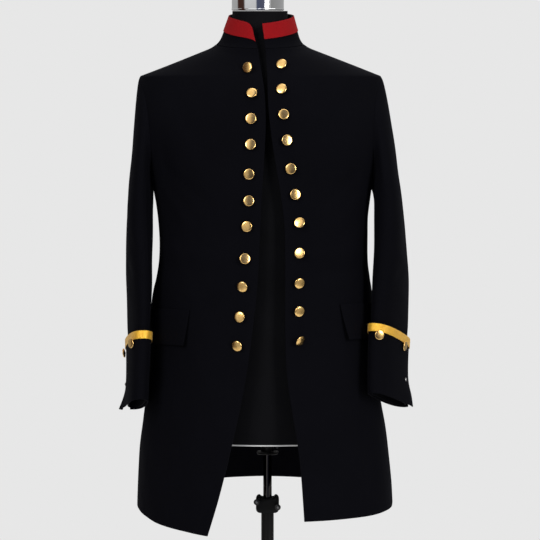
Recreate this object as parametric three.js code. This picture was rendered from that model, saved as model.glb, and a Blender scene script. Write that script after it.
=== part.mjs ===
// A hussar coat, worn open on a limbless dress form with a round-based stand.
// Millimetres, +Z up. The coat's front faces -Y and the wearer's left is +X.
// The origin is the centre of the stand's base, on the floor.
// Every cloth piece is a wall of real thickness, worked out from a few tables of sections.
import * as THREE from "three";
import { mergeVertices } from "three/addons/utils/BufferGeometryUtils.js";

// ---------------------------------------------------------------- driving dimensions
const SEAM = 0.3; // gap between neighbouring pieces
const CLOTH = 2.8; // wool melton with its canvas
const SLEEVE_CLOTH = 2.4; // the same without canvas
const COLLAR_CLOTH = 3.0; // two layers of wool round a stiffener
const CUFF_CLOTH = 2.6; // turned-up cuff, two layers
const FELT = 1.2; // red cloth on the collar, and the cuff braid
const FLAP_CLOTH = 1.8;

const HEM = 564; // height of the hem at the side seams
const ARMPIT = 1150;
const SHOULDER_TIP = 1361;
const NECKLINE = 1417; // nominal height of the seam between coat and collar
const NECK_RISE = { front: -20, back: 26 }; // how far that seam departs from level
const HEM_DROP = { right: -33, left: -1, back: 23 }; // the same for the hem

const SHOULDER_SEAM = 90; // degrees round the body from the centre front
const CENTRE_BACK = 180;
const VENT_TOP = 800; // the centre-back seam is left open below this height
const VENT_SPREAD = 0.5; // degrees that each vent edge stands off at the hem
const ARMHOLE_REACH = 31; // degrees that the armhole cuts forward and back
const SEAM_TURN = 116; // where the side seams run into the armhole, in degrees round it

const BUTTON_RADIUS = 9.6; // a 19 mm coat button
const CUFF_DEPTH = 124;
const CUFF_EASE = 1.5; // air between sleeve and cuff
const BRAID_WIDTH = 15;
const CUFF_VENT = { right: -75, left: -60, length: 46 }; // degrees round the sleeve
const SNAP_TURN = { right: -42, left: -24 };
const CUFF_FLARE = { right: { out: 24, curve: 1.2 }, left: { out: 9, curve: 0.5 } };

const FORM_BOTTOM = 688;
const RIM = { thickness: 2.4, overhang: 1 };
const NECK_CAP = { radius: 49, bottom: 1484, height: 49, x: -18, y: -4 };
const NECK_SLOPE = 0.22; // the neck's top rises towards the back
const INNER_POLE = { radius: 8, bottom: 120, top: 684 };
const OUTER_POLE = { radius: 11.7, bore: 9, bottom: 17.3, top: 566 };
const CLAMP = { bottom: 547, top: 579, radius: 19.5, halfAcross: 21.8, halfDeep: 16, square: 8 };
const BASE = { radius: 180, plate: 9, boss: 15, bossTop: 45 };

// ---------------------------------------------------------------- tables
// A table is written as its column names and a row for each section.
function table(names, rows) {
  const columns = names.split(" ").map((name, i) => [name, rows.map((row) => row[i])]);
  return Object.fromEntries(columns);
}

// Outer face of the coat: the reach to each side, to the front and to the back, where its widest
// line lies fore and aft, and how square it is.
const BODY = table("height right left front back middle square", [
  [541, -248, 239, -166, 166, 24, 2.25],
  [600, -245.5, 235.5, -161, 160, 23, 2.25],
  [643, -242.5, 231, -156, 154, 22, 2.25],
  [700, -237.5, 224, -149, 148, 21, 2.2],
  [760, -230, 213, -142, 141, 20, 2.15],
  [830, -220, 202, -134, 134, 17, 2.15],
  [900, -215.6, 197, -127, 127, 14, 2.2],
  [950, -215.5, 193.5, -123, 119, 11, 2.3],
  [1000, -204, 189, -121, 112, 8, 2.35],
  [1040, -201, 187, -120, 109, 5, 2.35],
  [1090, -203, 187, -121, 112, 2, 2.4],
  [1150, -213, 194, -124, 119, 0, 2.4],
  [1200, -226, 208, -126, 125, 0, 2.4],
  [1250, -237, 216, -123, 127, 0, 2.4],
  [1290, -239, 216, -117, 124, 0, 2.35],
  [1330, -239, 213, -107, 118, 0, 2.25],
  [1361, -238, 212, -97, 111, 0, 2.15],
  [1381, -183, 160, -89, 100, 0, 2.05],
  [1417, -93, 65, -76, 74, 0, 2],
]);

// Front edges: where each one lies across the coat. The coat hangs open.
const FRONT_EDGE = table("height right left", [
  [541, -112.5, 66],
  [592, -95.5, 63],
  [643, -79, 59.5],
  [693, -65, 55],
  [769, -45, 40],
  [855, -31, 32],
  [1000, -15.5, 32],
  [1071, -13, 32],
  [1139, -9.5, 23],
  [1206, -5.2, 12],
  [1262, -2.7, 4.2],
  [1310, -4.5, 0.8],
  [1371, -11, -0.1],
  [1417, -17, -3.5],
]);

// Soft folds: where round the body, between which heights, how wide and how deep. Minus is a trough.
const FOLDS = table("at low high width depth", [
  [-152, 470, 900, 9, 7],
  [-134, 470, 840, 8, -5],
  [-104, 470, 880, 8, 5],
  [-78, 470, 760, 7, -4],
  [-46, 470, 700, 9, 5],
  [152, 470, 880, 9, 6],
  [136, 470, 900, 8, -6],
  [108, 470, 860, 8, 5],
  [80, 470, 780, 7, -4],
  [46, 470, 720, 10, 4],
  [-51, 1090, 1290, 6, -5],
  [50, 1100, 1300, 6, -4],
  [150, 1010, 1120, 14, -4],
  [-150, 1000, 1110, 14, -4],
]);

// Front buttons from the neck down: height, place across, and how far the face leans and which way.
const BUTTONS_RIGHT = table("height across lean toward", [
  [1359.5, -33.8, 40, 222],
  [1312.4, -27.3, 10, 120],
  [1266.9, -28.9, 6, 250],
  [1220.5, -29.7, 8, 90],
  [1169.3, -32.3, 6, 270],
  [1121.8, -32.7, 8, 60],
  [1076.9, -35.9, 6, 200],
  [1019.4, -39.8, 14, 30],
  [970.9, -43.0, 26, 225],
  [917.1, -47.7, 18, 190],
  [866.8, -51.6, 28, 225],
]);
const BUTTONS_LEFT = table("height across lean toward", [
  [1367.8, 25.7, 20, 200],
  [1320.3, 25.5, 16, 180],
  [1274.1, 28.7, 6, 90],
  [1228.5, 34.0, 10, 0],
  [1178.6, 41.4, 6, 180],
  [1133.2, 48.8, 8, 45],
  [1083.0, 56.8, 26, 135],
  [1029.5, 57.4, 26, 170],
  [977.0, 55.2, 24, 315],
  [927.1, 55.0, 24, 315],
  [875.9, 54.9, 48, 315],
]);

// Sleeves below the armpit: centre (out from the middle of the coat, and fore and aft), half the
// thickness and half the depth of the flattened tube, its turn and the tilt of its section.
const SLEEVE_RIGHT = table("height out fore thick depth turn tilt", [
  [1120, 239, 6, 24.5, 90, 5, 1],
  [1060, 239.5, 2, 27, 87, 8, 3],
  [1000, 239.5, -6, 24, 84, 10.5, 5],
  [940, 238, -15, 21.5, 80, 13, 8],
  [890, 238, -25, 17, 75, 13.4, 11],
  [850, 237.8, -33, 16.2, 71, 12.7, 13],
  [800, 238.2, -42, 15.4, 68.5, 11.8, 14],
  [754, 239, -50, 15.2, 68, 11.8, 14],
]);
const SLEEVE_LEFT = table("height out fore thick depth turn tilt", [
  [1120, 227.5, 6, 27, 90, 7, 1],
  [1060, 229.5, 2, 30, 87, 11, 3],
  [1000, 230.5, -5, 29, 83, 17, 5.5],
  [940, 228.2, -13, 25.5, 79, 22.2, 10],
  [890, 225.8, -23, 20, 74, 26, 15],
  [850, 223, -32, 17.8, 70, 27.8, 17],
  [800, 221.2, -42, 18, 68, 28.7, 17],
  [762, 220.8, -50, 18, 67, 29.2, 16.5],
]);
const SLEEVE_SQUARE = 2.5; // the flattened tube's folds are a little fuller than an ellipse's
const SLEEVE_TOP = 1120; // where the sleeve's head ends and the tube begins

// Creases across the empty sleeves: height at the front edge, how far they slant, width and depth.
const CREASES = table("height slant width depth", [
  [1075, 30, 16, -2.5],
  [1020, 45, 15, -3],
  [968, 38, 14, -2.5],
  [925, -20, 14, -1.8],
]);

// The dress form's smooth torso: centre across, half width, front, back and how square it is.
const TORSO = table("height across half front back square", [
  [688, 0, 150, -104, 112, 2.3],
  [740, -0.5, 160, -107, 120, 2.3],
  [800, -1.5, 165, -106, 122, 2.3],
  [870, -3, 158, -101, 112, 2.3],
  [940, -4.5, 145, -96, 96, 2.3],
  [1000, -6, 137, -94, 86, 2.3],
  [1060, -7, 141, -98, 88, 2.3],
  [1130, -8.5, 153, -105, 98, 2.3],
  [1200, -10, 165, -108, 106, 2.3],
  [1260, -11, 176, -104, 108, 2.3],
  [1305, -12, 184, -96, 103, 2.2],
  [1332, -13, 184, -89, 96, 2.1],
  [1349, -13, 178, -83, 90, 2.05],
  [1361, -13.5, 168, -78, 85, 2],
  [1371, -13.5, 154, -73, 80, 2],
  [1381, -14, 136, -69, 76, 2],
  [1391, -14, 114, -65, 71, 2],
  [1401, -14.5, 92, -61, 66, 2],
  [1410, -15, 75, -58, 61, 2],
  [1420, -15, 61, -55, 56, 2],
  [1434, -14.5, 53, -53, 50, 2],
  [1483.5, -14, 52, -50, 43, 2.15],
]);

// ---------------------------------------------------------------- small maths
const rad = THREE.MathUtils.degToRad;
const clamp01 = (t) => Math.min(1, Math.max(0, t));
const smooth = (t) => clamp01(t) ** 2 * (3 - 2 * clamp01(t));
const lerp = THREE.MathUtils.lerp;
const vec = (x, y, z) => new THREE.Vector3(x, y, z);

// The value of a column at a place, on a smooth curve that doesn't overshoot its rows.
function along(xs, ys, x) {
  const rising = xs[1] > xs[0] ? 1 : -1;
  let i = 0;
  while (i < xs.length - 2 && rising * (x - xs[i + 1]) > 0) i++;
  const slope = (k) => (ys[k + 1] - ys[k]) / (xs[k + 1] - xs[k]);
  const tangent = (k) => {
    if (k === 0) return slope(0);
    if (k === xs.length - 1) return slope(k - 1);
    const [a, b] = [slope(k - 1), slope(k)];
    return a * b <= 0 ? 0 : (2 * a * b) / (a + b);
  };
  const step = xs[i + 1] - xs[i];
  const t = clamp01((x - xs[i]) / step);
  const [t2, t3] = [t * t, t * t * t];
  return (
    (2 * t3 - 3 * t2 + 1) * ys[i] +
    (t3 - 2 * t2 + t) * step * tangent(i) +
    (3 * t2 - 2 * t3) * ys[i + 1] +
    (t3 - t2) * step * tangent(i + 1)
  );
}

function straight(xs, ys, x) {
  let i = 0;
  while (i < xs.length - 2 && x > xs[i + 1]) i++;
  return lerp(ys[i], ys[i + 1], clamp01((x - xs[i]) / (xs[i + 1] - xs[i])));
}

// A point of a rounded section, by its angle from the centre front. Plus turns towards +X.
function sectionPoint(angle, { right, left, front, back, middle, square }) {
  const [s, c] = [Math.sin(rad(angle)), Math.cos(rad(angle))];
  const reach = (Math.abs(s) ** square + Math.abs(c) ** square) ** (-1 / square);
  const half = (left - right) / 2;
  const ahead = c > 0 ? front - middle : middle - back;
  return { x: (left + right) / 2 + half * s * reach, y: middle + ahead * c * reach };
}

// ---------------------------------------------------------------- the coat's body surface
function foldAt(angle, height) {
  let sum = 0;
  for (let i = 0; i < FOLDS.at.length; i++) {
    const across = Math.exp(-(((angle - FOLDS.at[i]) / FOLDS.width[i]) ** 2));
    const t = (height - FOLDS.low[i]) / (FOLDS.high[i] - FOLDS.low[i]);
    const isSkirt = FOLDS.low[i] < HEM;
    const run = isSkirt ? 1 - smooth(t) : Math.sin(Math.PI * clamp01(t)) ** 2;
    sum += FOLDS.depth[i] * across * run;
  }
  return sum;
}

// The outer face, by the angle round the body and the nominal height.
function bodyPoint(angle, height) {
  const across = (name) =>
    height > SHOULDER_TIP
      ? straight(BODY.height, BODY[name], height)
      : along(BODY.height, BODY[name], height);
  const at = (name) => along(BODY.height, BODY[name], height);
  const fold = foldAt(angle, height);
  const { x, y } = sectionPoint(angle, {
    right: across("right") - fold,
    left: across("left") + fold,
    front: at("front") - fold,
    back: at("back") + fold,
    middle: at("middle"),
    square: at("square"),
  });
  const c = Math.cos(rad(angle));
  const neck = lerp(NECK_RISE.front, NECK_RISE.back, (1 - c) / 2);
  const hemDrop = c < 0 ? HEM_DROP.back : angle < 0 ? HEM_DROP.right : HEM_DROP.left;
  const rise =
    neck * smooth((height - 1290) / (NECKLINE - 1290)) +
    hemDrop * c * c * smooth((780 - height) / (780 - HEM));
  return vec(x, y, height + rise);
}

// Outward normal of a surface given as point(a, b), from two small steps.
function normalOf(point, a, b, stepA, stepB) {
  const alongA = point(a + stepA, b).sub(point(a - stepA, b));
  const alongB = point(a, b + stepB).sub(point(a, b - stepB));
  return alongA.cross(alongB).normalize();
}
const bodyNormal = (angle, height) => {
  const upTo = Math.min(height, NECKLINE - 1);
  return normalOf(bodyPoint, angle, upTo, 0.4, 0.8);
};

// The angle at which the body's face is so far across, near the front.
function angleAcross(x, height) {
  let [low, high] = [-60, 60];
  for (let i = 0; i < 30; i++) {
    const middle = (low + high) / 2;
    if (bodyPoint(middle, height).x < x) low = middle;
    else high = middle;
  }
  return (low + high) / 2;
}

// The armhole as a closed curve: its angle round the body and its height, by a turn of its own.
// Turn 0 is the shoulder, 90 the front, 180 the armpit and 270 the back.
function armhole(turn) {
  const middle = (SHOULDER_TIP + ARMPIT) / 2;
  const half = (SHOULDER_TIP - ARMPIT) / 2;
  return {
    angle: SHOULDER_SEAM - ARMHOLE_REACH * Math.sin(rad(turn)),
    height: middle + half * Math.cos(rad(turn)),
  };
}

const SIDE_SEAM_REACH = ARMHOLE_REACH * Math.sin(rad(SEAM_TURN)); // degrees off the shoulder seam
const SIDE_SEAM_TOP = armhole(SEAM_TURN).height;

// Pieces that meet at the armhole all have their points at the same turns round it.
const UPPER_TURNS = [SEAM_TURN, 103, 90, 75, 60, 45, 30, 15, 0];
const UNDER_TURNS = [SEAM_TURN, 132, 148, 164, 180, 196, 212, 228, 360 - SEAM_TURN];

// ---------------------------------------------------------------- solids from surfaces
const MATERIALS = {
  wool: new THREE.MeshStandardMaterial({ color: 0x0c0d12, roughness: 0.92 }),
  redCloth: new THREE.MeshStandardMaterial({ color: 0xa3161b, roughness: 0.85 }),
  braid: new THREE.MeshStandardMaterial({ color: 0xf0ab22, roughness: 0.45 }),
  gilt: new THREE.MeshStandardMaterial({ color: 0xd9a94a, roughness: 0.25, metalness: 1 }),
  steel: new THREE.MeshStandardMaterial({ color: 0xb8b8b8, roughness: 0.3, metalness: 1 }),
  jersey: new THREE.MeshStandardMaterial({ color: 0x101114, roughness: 0.8 }),
  chrome: new THREE.MeshStandardMaterial({ color: 0xd8dadd, roughness: 0.08, metalness: 1 }),
  darkChrome: new THREE.MeshStandardMaterial({ color: 0x3d3b3a, roughness: 0.1, metalness: 1 }),
  rim: new THREE.MeshStandardMaterial({ color: 0xcfd0cf, roughness: 0.4 }),
  blackMetal: new THREE.MeshStandardMaterial({ color: 0x161414, roughness: 0.5, metalness: 0.6 }),
};
const coat = new THREE.Group();
const form = new THREE.Group();
const stand = new THREE.Group();
const slidingPole = new THREE.Group();

function addMesh(group, name, geometry, material) {
  const mesh = new THREE.Mesh(geometry, material);
  mesh.name = name;
  group.add(mesh);
  return mesh;
}

function geometryOf(points, triangles) {
  const geometry = new THREE.BufferGeometry();
  geometry.setAttribute(
    "position",
    new THREE.Float32BufferAttribute(
      points.flatMap((p) => [p.x, p.y, p.z]),
      3,
    ),
  );
  geometry.setIndex(triangles);
  return geometry;
}

function volumeOf(points, triangles) {
  let sum = 0;
  for (let i = 0; i < triangles.length; i += 3) {
    const [a, b, c] = [0, 1, 2].map((k) => points[triangles[i + k]]);
    sum += a.dot(b.clone().cross(c));
  }
  return sum / 6;
}

function facingOut(points, triangles) {
  if (volumeOf(points, triangles) < 0)
    for (let i = 0; i < triangles.length; i += 3)
      [triangles[i + 1], triangles[i + 2]] = [triangles[i + 2], triangles[i + 1]];
  return geometryOf(points, triangles);
}

// A cloth wall: a grid of outer points and the same grid moved in by the thickness, closed round its
// rim. face(u, v) gives { point, normal } for each pair of the two lists.
function clothWall(us, vs, thickness, face) {
  const [outer, inner] = [[], []];
  for (const v of vs)
    for (const u of us) {
      const { point, normal } = face(u, v);
      outer.push(point);
      inner.push(point.clone().addScaledVector(normal, -thickness));
    }
  const width = us.length;
  const [columns, rows] = [us.length - 1, vs.length - 1];
  const count = outer.length;
  const triangles = [];
  const quad = (a, b, c, d) => triangles.push(a, b, c, a, c, d);
  for (let j = 0; j < rows; j++)
    for (let i = 0; i < columns; i++) {
      const a = j * width + i;
      quad(a, a + 1, a + 1 + width, a + width);
      quad(count + a, count + a + width, count + a + 1 + width, count + a + 1);
    }
  const rim = [];
  for (let i = 0; i < columns; i++) rim.push(i);
  for (let j = 0; j < rows; j++) rim.push(j * width + columns);
  for (let i = columns; i > 0; i--) rim.push(rows * width + i);
  for (let j = rows; j > 0; j--) rim.push(j * width);
  rim.forEach((a, k) => {
    const b = rim[(k + 1) % rim.length];
    quad(b, a, count + a, count + b);
  });
  return facingOut([...outer, ...inner], triangles);
}

const steps = (count) => Array.from({ length: count + 1 }, (_, i) => i / count);

// A closed solid from rings of points, with a flat fan at each end.
function ringSolid(rings) {
  const around = rings[0].length;
  const points = rings.flat();
  const triangles = [];
  for (let j = 0; j < rings.length - 1; j++)
    for (let i = 0; i < around; i++) {
      const [a, b] = [j * around + i, j * around + ((i + 1) % around)];
      triangles.push(a, b, b + around, a, b + around, a + around);
    }
  for (const [ring, start] of [
    [rings[0], 0],
    [rings.at(-1), (rings.length - 1) * around],
  ]) {
    const centre = points.length;
    points.push(ring.reduce((sum, p) => sum.add(p), vec(0, 0, 0)).divideScalar(around));
    for (let i = 0; i < around; i++) {
      const [a, b] = [start + i, start + ((i + 1) % around)];
      if (start === 0) triangles.push(centre, b, a);
      else triangles.push(centre, a, b);
    }
  }
  return facingOut(points, triangles);
}

// A turned solid about Z from its profile of [radius, height] pairs.
function turned(profile, segments) {
  const lathe = new THREE.LatheGeometry(
    profile.map(([r, z]) => new THREE.Vector2(r, z)),
    segments,
  );
  lathe.rotateX(Math.PI / 2);
  lathe.deleteAttribute("normal");
  lathe.deleteAttribute("uv");
  const merged = mergeVertices(lathe, 1e-3);
  const places = merged.getAttribute("position");
  const points = Array.from({ length: places.count }, (_, i) =>
    new THREE.Vector3().fromBufferAttribute(places, i),
  );
  const whole = [];
  const index = merged.index.array;
  for (let i = 0; i < index.length; i += 3) {
    const [a, b, c] = [index[i], index[i + 1], index[i + 2]];
    if (a !== b && b !== c && c !== a) whole.push(a, b, c);
  }
  return facingOut(points, whole);
}

// ---------------------------------------------------------------- coat panels
const gapAngle = (radius) => (SEAM / 2 / radius) * (180 / Math.PI);
const SIDE_GAP = gapAngle(200);
const RIDGE_GAP = gapAngle(85);

// Rows of a panel: up the side seam, round the armhole, then along the shoulder seam.
const SEAM_ROWS = [HEM, 615, 670, 725, 780, 835, 890, 945, 1000, 1050, 1100, 1155];
const SHOULDER_ROWS = [1377, 1397, NECKLINE - SEAM];
const PANEL_ROWS = [
  ...SEAM_ROWS.map((height) => ({ height, off: SIDE_SEAM_REACH + SIDE_GAP })),
  ...UPPER_TURNS.map((turn) => ({
    height: armhole(turn).height,
    off: SHOULDER_SEAM - armhole(turn).angle + RIDGE_GAP,
  })),
  ...SHOULDER_ROWS.map((height) => ({ height, off: RIDGE_GAP })),
];

// A front or back, from its free edge to the seams. side is -1 for the wearer's right, 1 for the left.
function panel(name, columns, edge, seam) {
  const face = (u, { height, off }) => {
    const angle = lerp(edge(height), seam(off), u);
    return { point: bodyPoint(angle, height), normal: bodyNormal(angle, height) };
  };
  addMesh(coat, name, clothWall(steps(columns), PANEL_ROWS, CLOTH, face), MATERIALS.wool);
}

function frontPanel(name, side) {
  const across = FRONT_EDGE[side < 0 ? "right" : "left"];
  const edge = (height) => angleAcross(along(FRONT_EDGE.height, across, height), height);
  panel(name, 12, edge, (off) => side * (SHOULDER_SEAM - off));
}

function backPanel(name, side) {
  const edge = (height) => {
    const spread = VENT_SPREAD * clamp01((VENT_TOP - height) / (VENT_TOP - HEM)) ** 1.5;
    return side * (CENTRE_BACK - SIDE_GAP - spread);
  };
  panel(name, 9, edge, (off) => side * (SHOULDER_SEAM + off));
}

// The side body fills in below the armhole, so its upper edge is the armhole's lower curve.
function sidePanel(name, side) {
  const shares = [...SEAM_ROWS, SIDE_SEAM_TOP].map((z) => (z - HEM) / (SIDE_SEAM_TOP - HEM));
  const face = (turn, share) => {
    const { angle, height: top } = armhole(turn);
    const gap = turn === UNDER_TURNS[0] ? SIDE_GAP : turn === UNDER_TURNS.at(-1) ? -SIDE_GAP : 0;
    const height = lerp(HEM, top, share);
    const around = side * (angle + gap);
    return { point: bodyPoint(around, height), normal: bodyNormal(around, height) };
  };
  addMesh(coat, name, clothWall(UNDER_TURNS, shares, CLOTH, face), MATERIALS.wool);
}

for (const [word, side] of [["right", -1], ["left", 1]]) {
  frontPanel(`front_${word}`, side);
  sidePanel(`side_body_${word}`, side);
  backPanel(`back_${word}`, side);
}

// ---------------------------------------------------------------- collar and its red cloth
const COLLAR_TOP = { right: -71.5, left: 48.5, front: -66, back: 58, middle: -4, square: 2 };
const COLLAR_RISE = { front: 1447, back: 1494, curve: 0.76 };
const COLLAR_END = { rightBase: -18, rightTop: -24, leftBase: -3.5, leftTop: -10 };
const COLLAR_CORNER = 17; // degrees over which the right end's upper corner is rounded off
const BAND_FROM = { front: 0.4, back: 0.54 }; // share of the height where the red cloth begins

// The collar's outer face, by the angle round the neck and the share of its height.
function collarPoint(angle, share) {
  const base = bodyPoint(angle, NECKLINE);
  const c = Math.cos(rad(angle));
  const { x, y } = sectionPoint(angle, COLLAR_TOP);
  const topHeight = lerp(COLLAR_RISE.front, COLLAR_RISE.back, ((1 - c) / 2) ** COLLAR_RISE.curve);
  const hollow = 0.88 * share + 0.12 * Math.sqrt(share); // it turns in a little above the seam
  return vec(
    lerp(base.x, x, hollow),
    lerp(base.y, y, hollow),
    lerp(base.z + SEAM, topHeight, share),
  );
}
const collarNormal = (angle, share) =>
  normalOf(collarPoint, angle, THREE.MathUtils.clamp(share, 0.05, 0.95), 0.5, 0.02);

function collarAngleAcross(x, share) {
  let [low, high] = [-60, 60];
  for (let i = 0; i < 30; i++) {
    const middle = (low + high) / 2;
    if (collarPoint(middle, share).x < x) low = middle;
    else high = middle;
  }
  return (low + high) / 2;
}

// Goes the long way round, from the left end past the back to the right end.
const COLLAR_COLUMNS = [...steps(26).slice(0, -1), 0.972, 0.983, 0.992, 1];

// A row is 0 at the seam, 1 where the red cloth begins and 2 at the top.
function shareOf(row, u) {
  const from = lerp(BAND_FROM.front, BAND_FROM.back, Math.sin(Math.PI * u));
  return row < 1 ? row * from : lerp(from, 1, row - 1);
}

function collarWall(rows, lift, thickness, inset) {
  const face = (u, row) => {
    const share = shareOf(row, u);
    const leftEnd = collarAngleAcross(lerp(COLLAR_END.leftBase, COLLAR_END.leftTop, share), share);
    const rightEnd = collarAngleAcross(
      lerp(COLLAR_END.rightBase, COLLAR_END.rightTop, share),
      share,
    );
    const angle = lerp(leftEnd + inset, 360 + rightEnd - inset, u);
    const nearRightEnd = clamp01(1 - (360 + rightEnd - angle) / COLLAR_CORNER);
    const dip = 0.34 * (1 - Math.sqrt(1 - nearRightEnd ** 2)) * smooth(share);
    const normal = collarNormal(angle, share);
    const point = collarPoint(angle, share - dip).addScaledVector(normal, lift);
    return { point, normal };
  };
  return clothWall(COLLAR_COLUMNS, rows, thickness, face);
}
const collarRows = [0, 0.5, 1, 1.5, 2];
const bandRows = [1, 1.5, 1.98];
addMesh(coat, "collar", collarWall(collarRows, 0, COLLAR_CLOTH, 0), MATERIALS.wool);
addMesh(
  coat,
  "collar_band",
  collarWall(bandRows, SEAM + FELT, FELT, 0.4),
  MATERIALS.redCloth,
);

// ---------------------------------------------------------------- sleeves
// turn goes round the sleeve as round the armhole. s is 0 to 1 over the head and 1 to 2 down the tube.
function sleeveRing(side, sections, turn, height) {
  const at = (name) => along(sections.height, sections[name], height);
  const [yaw, tilt] = [rad(at("turn")), rad(at("tilt"))];
  const outward = vec(side * Math.cos(yaw), -Math.sin(yaw), 0);
  const fore = vec(
    -side * Math.sin(yaw),
    -Math.cos(yaw) * Math.cos(tilt),
    Math.sin(tilt),
  );
  const [c, s] = [Math.cos(rad(turn)), Math.sin(rad(turn))];
  const sum = Math.abs(s) ** SLEEVE_SQUARE + Math.abs(c) ** SLEEVE_SQUARE;
  const reach = sum ** (-1 / SLEEVE_SQUARE);
  return vec(side * at("out"), at("fore"), height)
    .addScaledVector(outward, at("thick") * c * reach)
    .addScaledVector(fore, at("depth") * s * reach);
}

function creaseAt(turn, point) {
  let sum = 0;
  for (let i = 0; i < CREASES.height.length; i++) {
    const centre = CREASES.height[i] - CREASES.slant[i] * (0.5 - 0.5 * Math.sin(rad(turn)));
    const outer = 0.4 + 0.6 * Math.cos(rad(turn)) ** 2;
    sum += CREASES.depth[i] * outer * Math.exp(-(((point.z - centre) / CREASES.width[i]) ** 2));
  }
  return sum;
}

function sleevePoint(side, sections, turn, s) {
  if (s >= 1) {
    const height = lerp(SLEEVE_TOP, sections.height.at(-1), s - 1);
    const point = sleeveRing(side, sections, turn, height);
    const away = point.clone().setZ(0);
    const centre = vec(
      side * along(sections.height, sections.out, height),
      along(sections.height, sections.fore, height),
      0,
    );
    const push = away.sub(centre).normalize();
    return point.addScaledVector(push, creaseAt(turn, point));
  }
  const { angle, height } = armhole(turn);
  const start = bodyPoint(side * angle, height).add(vec(side * 1.6 * SEAM, 0, 0));
  const end = sleevePoint(side, sections, turn, 1);
  const chord = start.distanceTo(end);
  const low = (1 - Math.cos(rad(turn))) / 2; // 0 at the shoulder and 1 at the armpit
  const leave = vec(side, -0.25 * Math.sin(rad(turn)), 0.5 - 1.5 * low).normalize();
  const hermite = new THREE.CubicBezierCurve3(
    start,
    start.clone().addScaledVector(leave, lerp(0.034, 0.14, low) * chord),
    end.clone().add(vec(-side * 0.05 * chord, 0, 0.4 * chord)),
    end,
  );
  return hermite.getPoint(s);
}

const sleeveNormal = (side, sections, turn, s) => {
  const point = (a, b) => sleevePoint(side, sections, a, b);
  const inside = s < 1 ? THREE.MathUtils.clamp(s, 0.03, 0.98) : Math.max(s, 1.02);
  return normalOf(point, turn, Math.min(inside, 1.985), 1, 0.015).multiplyScalar(side);
};

const SLEEVE_ROWS = [0, 0.1, 0.24, 0.42, 0.62, 0.82, 1, 1.15, 1.3, 1.43, 1.55, 1.68, 1.84, 1.99];
const TOP_TURNS = [...UPPER_TURNS.map((turn) => -turn), ...UPPER_TURNS.toReversed().slice(1)];

function sleevePiece(name, side, sections, turns) {
  const gap = gapAngle(60);
  const face = (u, s) => {
    const turn = THREE.MathUtils.clamp(u, turns[0] + gap, turns.at(-1) - gap);
    return {
      point: sleevePoint(side, sections, turn, s),
      normal: sleeveNormal(side, sections, turn, s),
    };
  };
  addMesh(coat, name, clothWall(turns, SLEEVE_ROWS, SLEEVE_CLOTH, face), MATERIALS.wool);
}

// ---------------------------------------------------------------- cuffs, braid and cuff buttons
// down is the distance below the cuff's upper edge.
function cuffPoint(sleeve, turn, down, lift) {
  const { side, sections, flare, vent } = sleeve;
  const s = 2 - (CUFF_DEPTH - down) / (SLEEVE_TOP - sections.height.at(-1));
  const fall = clamp01((down - (CUFF_DEPTH - CUFF_VENT.length)) / CUFF_VENT.length);
  const beside = Math.exp(-(((turn - vent) / 32) ** 2)); // only the vent's outer edge flares
  const normal = sleeveNormal(side, sections, turn, s);
  const off = lift + flare.out * fall ** flare.curve * beside;
  return { point: sleevePoint(side, sections, turn, s).addScaledVector(normal, off), normal };
}
const CUFF_LIFT = CUFF_EASE + CUFF_CLOTH;
const CUFF_TURNS = [
  -60, -45, -30, -15, 0, 15, 30, 45, 60, 75, 90, 103, ...UNDER_TURNS, 257, 270, 285,
];

// The turns of a cuff's columns, from one edge of its vent round to the other.
function turnsFrom(vent) {
  const between = CUFF_TURNS.filter((turn) => turn > vent + 3 && turn < vent + 357);
  return [vent, ...between, vent + 360];
}

function cuffWall(sleeve, downs, lift, thickness, gap) {
  const turns = turnsFrom(sleeve.vent);
  const [first, last] = [turns[0] + gap, turns.at(-1) - gap];
  const face = (u, down) => cuffPoint(sleeve, THREE.MathUtils.clamp(u, first, last), down, lift);
  return clothWall(turns, downs, thickness, face);
}

// A shank button that stands on a face and leans towards a direction.
const BUTTON_PROFILE = [
  [0, 0],
  [3, 0],
  [8.8, 2],
  [BUTTON_RADIUS, 3],
  [7.9, 4.6],
  [0, 5.6],
];
const buttonGeometry = turned(BUTTON_PROFILE, 12);

function addButton(name, size, point, normal, lean, leaning) {
  const mesh = addMesh(coat, name, buttonGeometry.clone().scale(size, size, size), MATERIALS.gilt);
  const axis = normal.clone().cross(leaning).normalize();
  const facing = normal.clone().applyAxisAngle(axis, rad(lean));
  const dip = 8.8 * Math.sin(rad(lean)) - 2 * Math.cos(rad(lean));
  const lift = 2 * SEAM + Math.max(3 * Math.sin(rad(lean)), dip);
  mesh.quaternion.setFromUnitVectors(vec(0, 0, 1), facing);
  mesh.position.copy(point).addScaledVector(normal, lift);
}

const CUFF_BUTTONS = {
  right: [{ turn: 46, lean: 14, toward: [0, -1, -0.2] }, { turn: -44, lean: 8, toward: [0, 1, -1] }],
  left: [{ turn: 69, lean: 8, toward: [0, -1, -0.6] }, { turn: -12, lean: 8, toward: [0, -0.3, -1] }],
};
const CUFF_BUTTON_DOWN = 22;
const CUFF_BUTTON_SIZE = 0.9; // next to a coat button
const SNAP_PROFILE = [[0, 0], [3.2, 0], [3.2, 0.9], [1.6, 1.6], [0, 1.6]];

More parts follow.
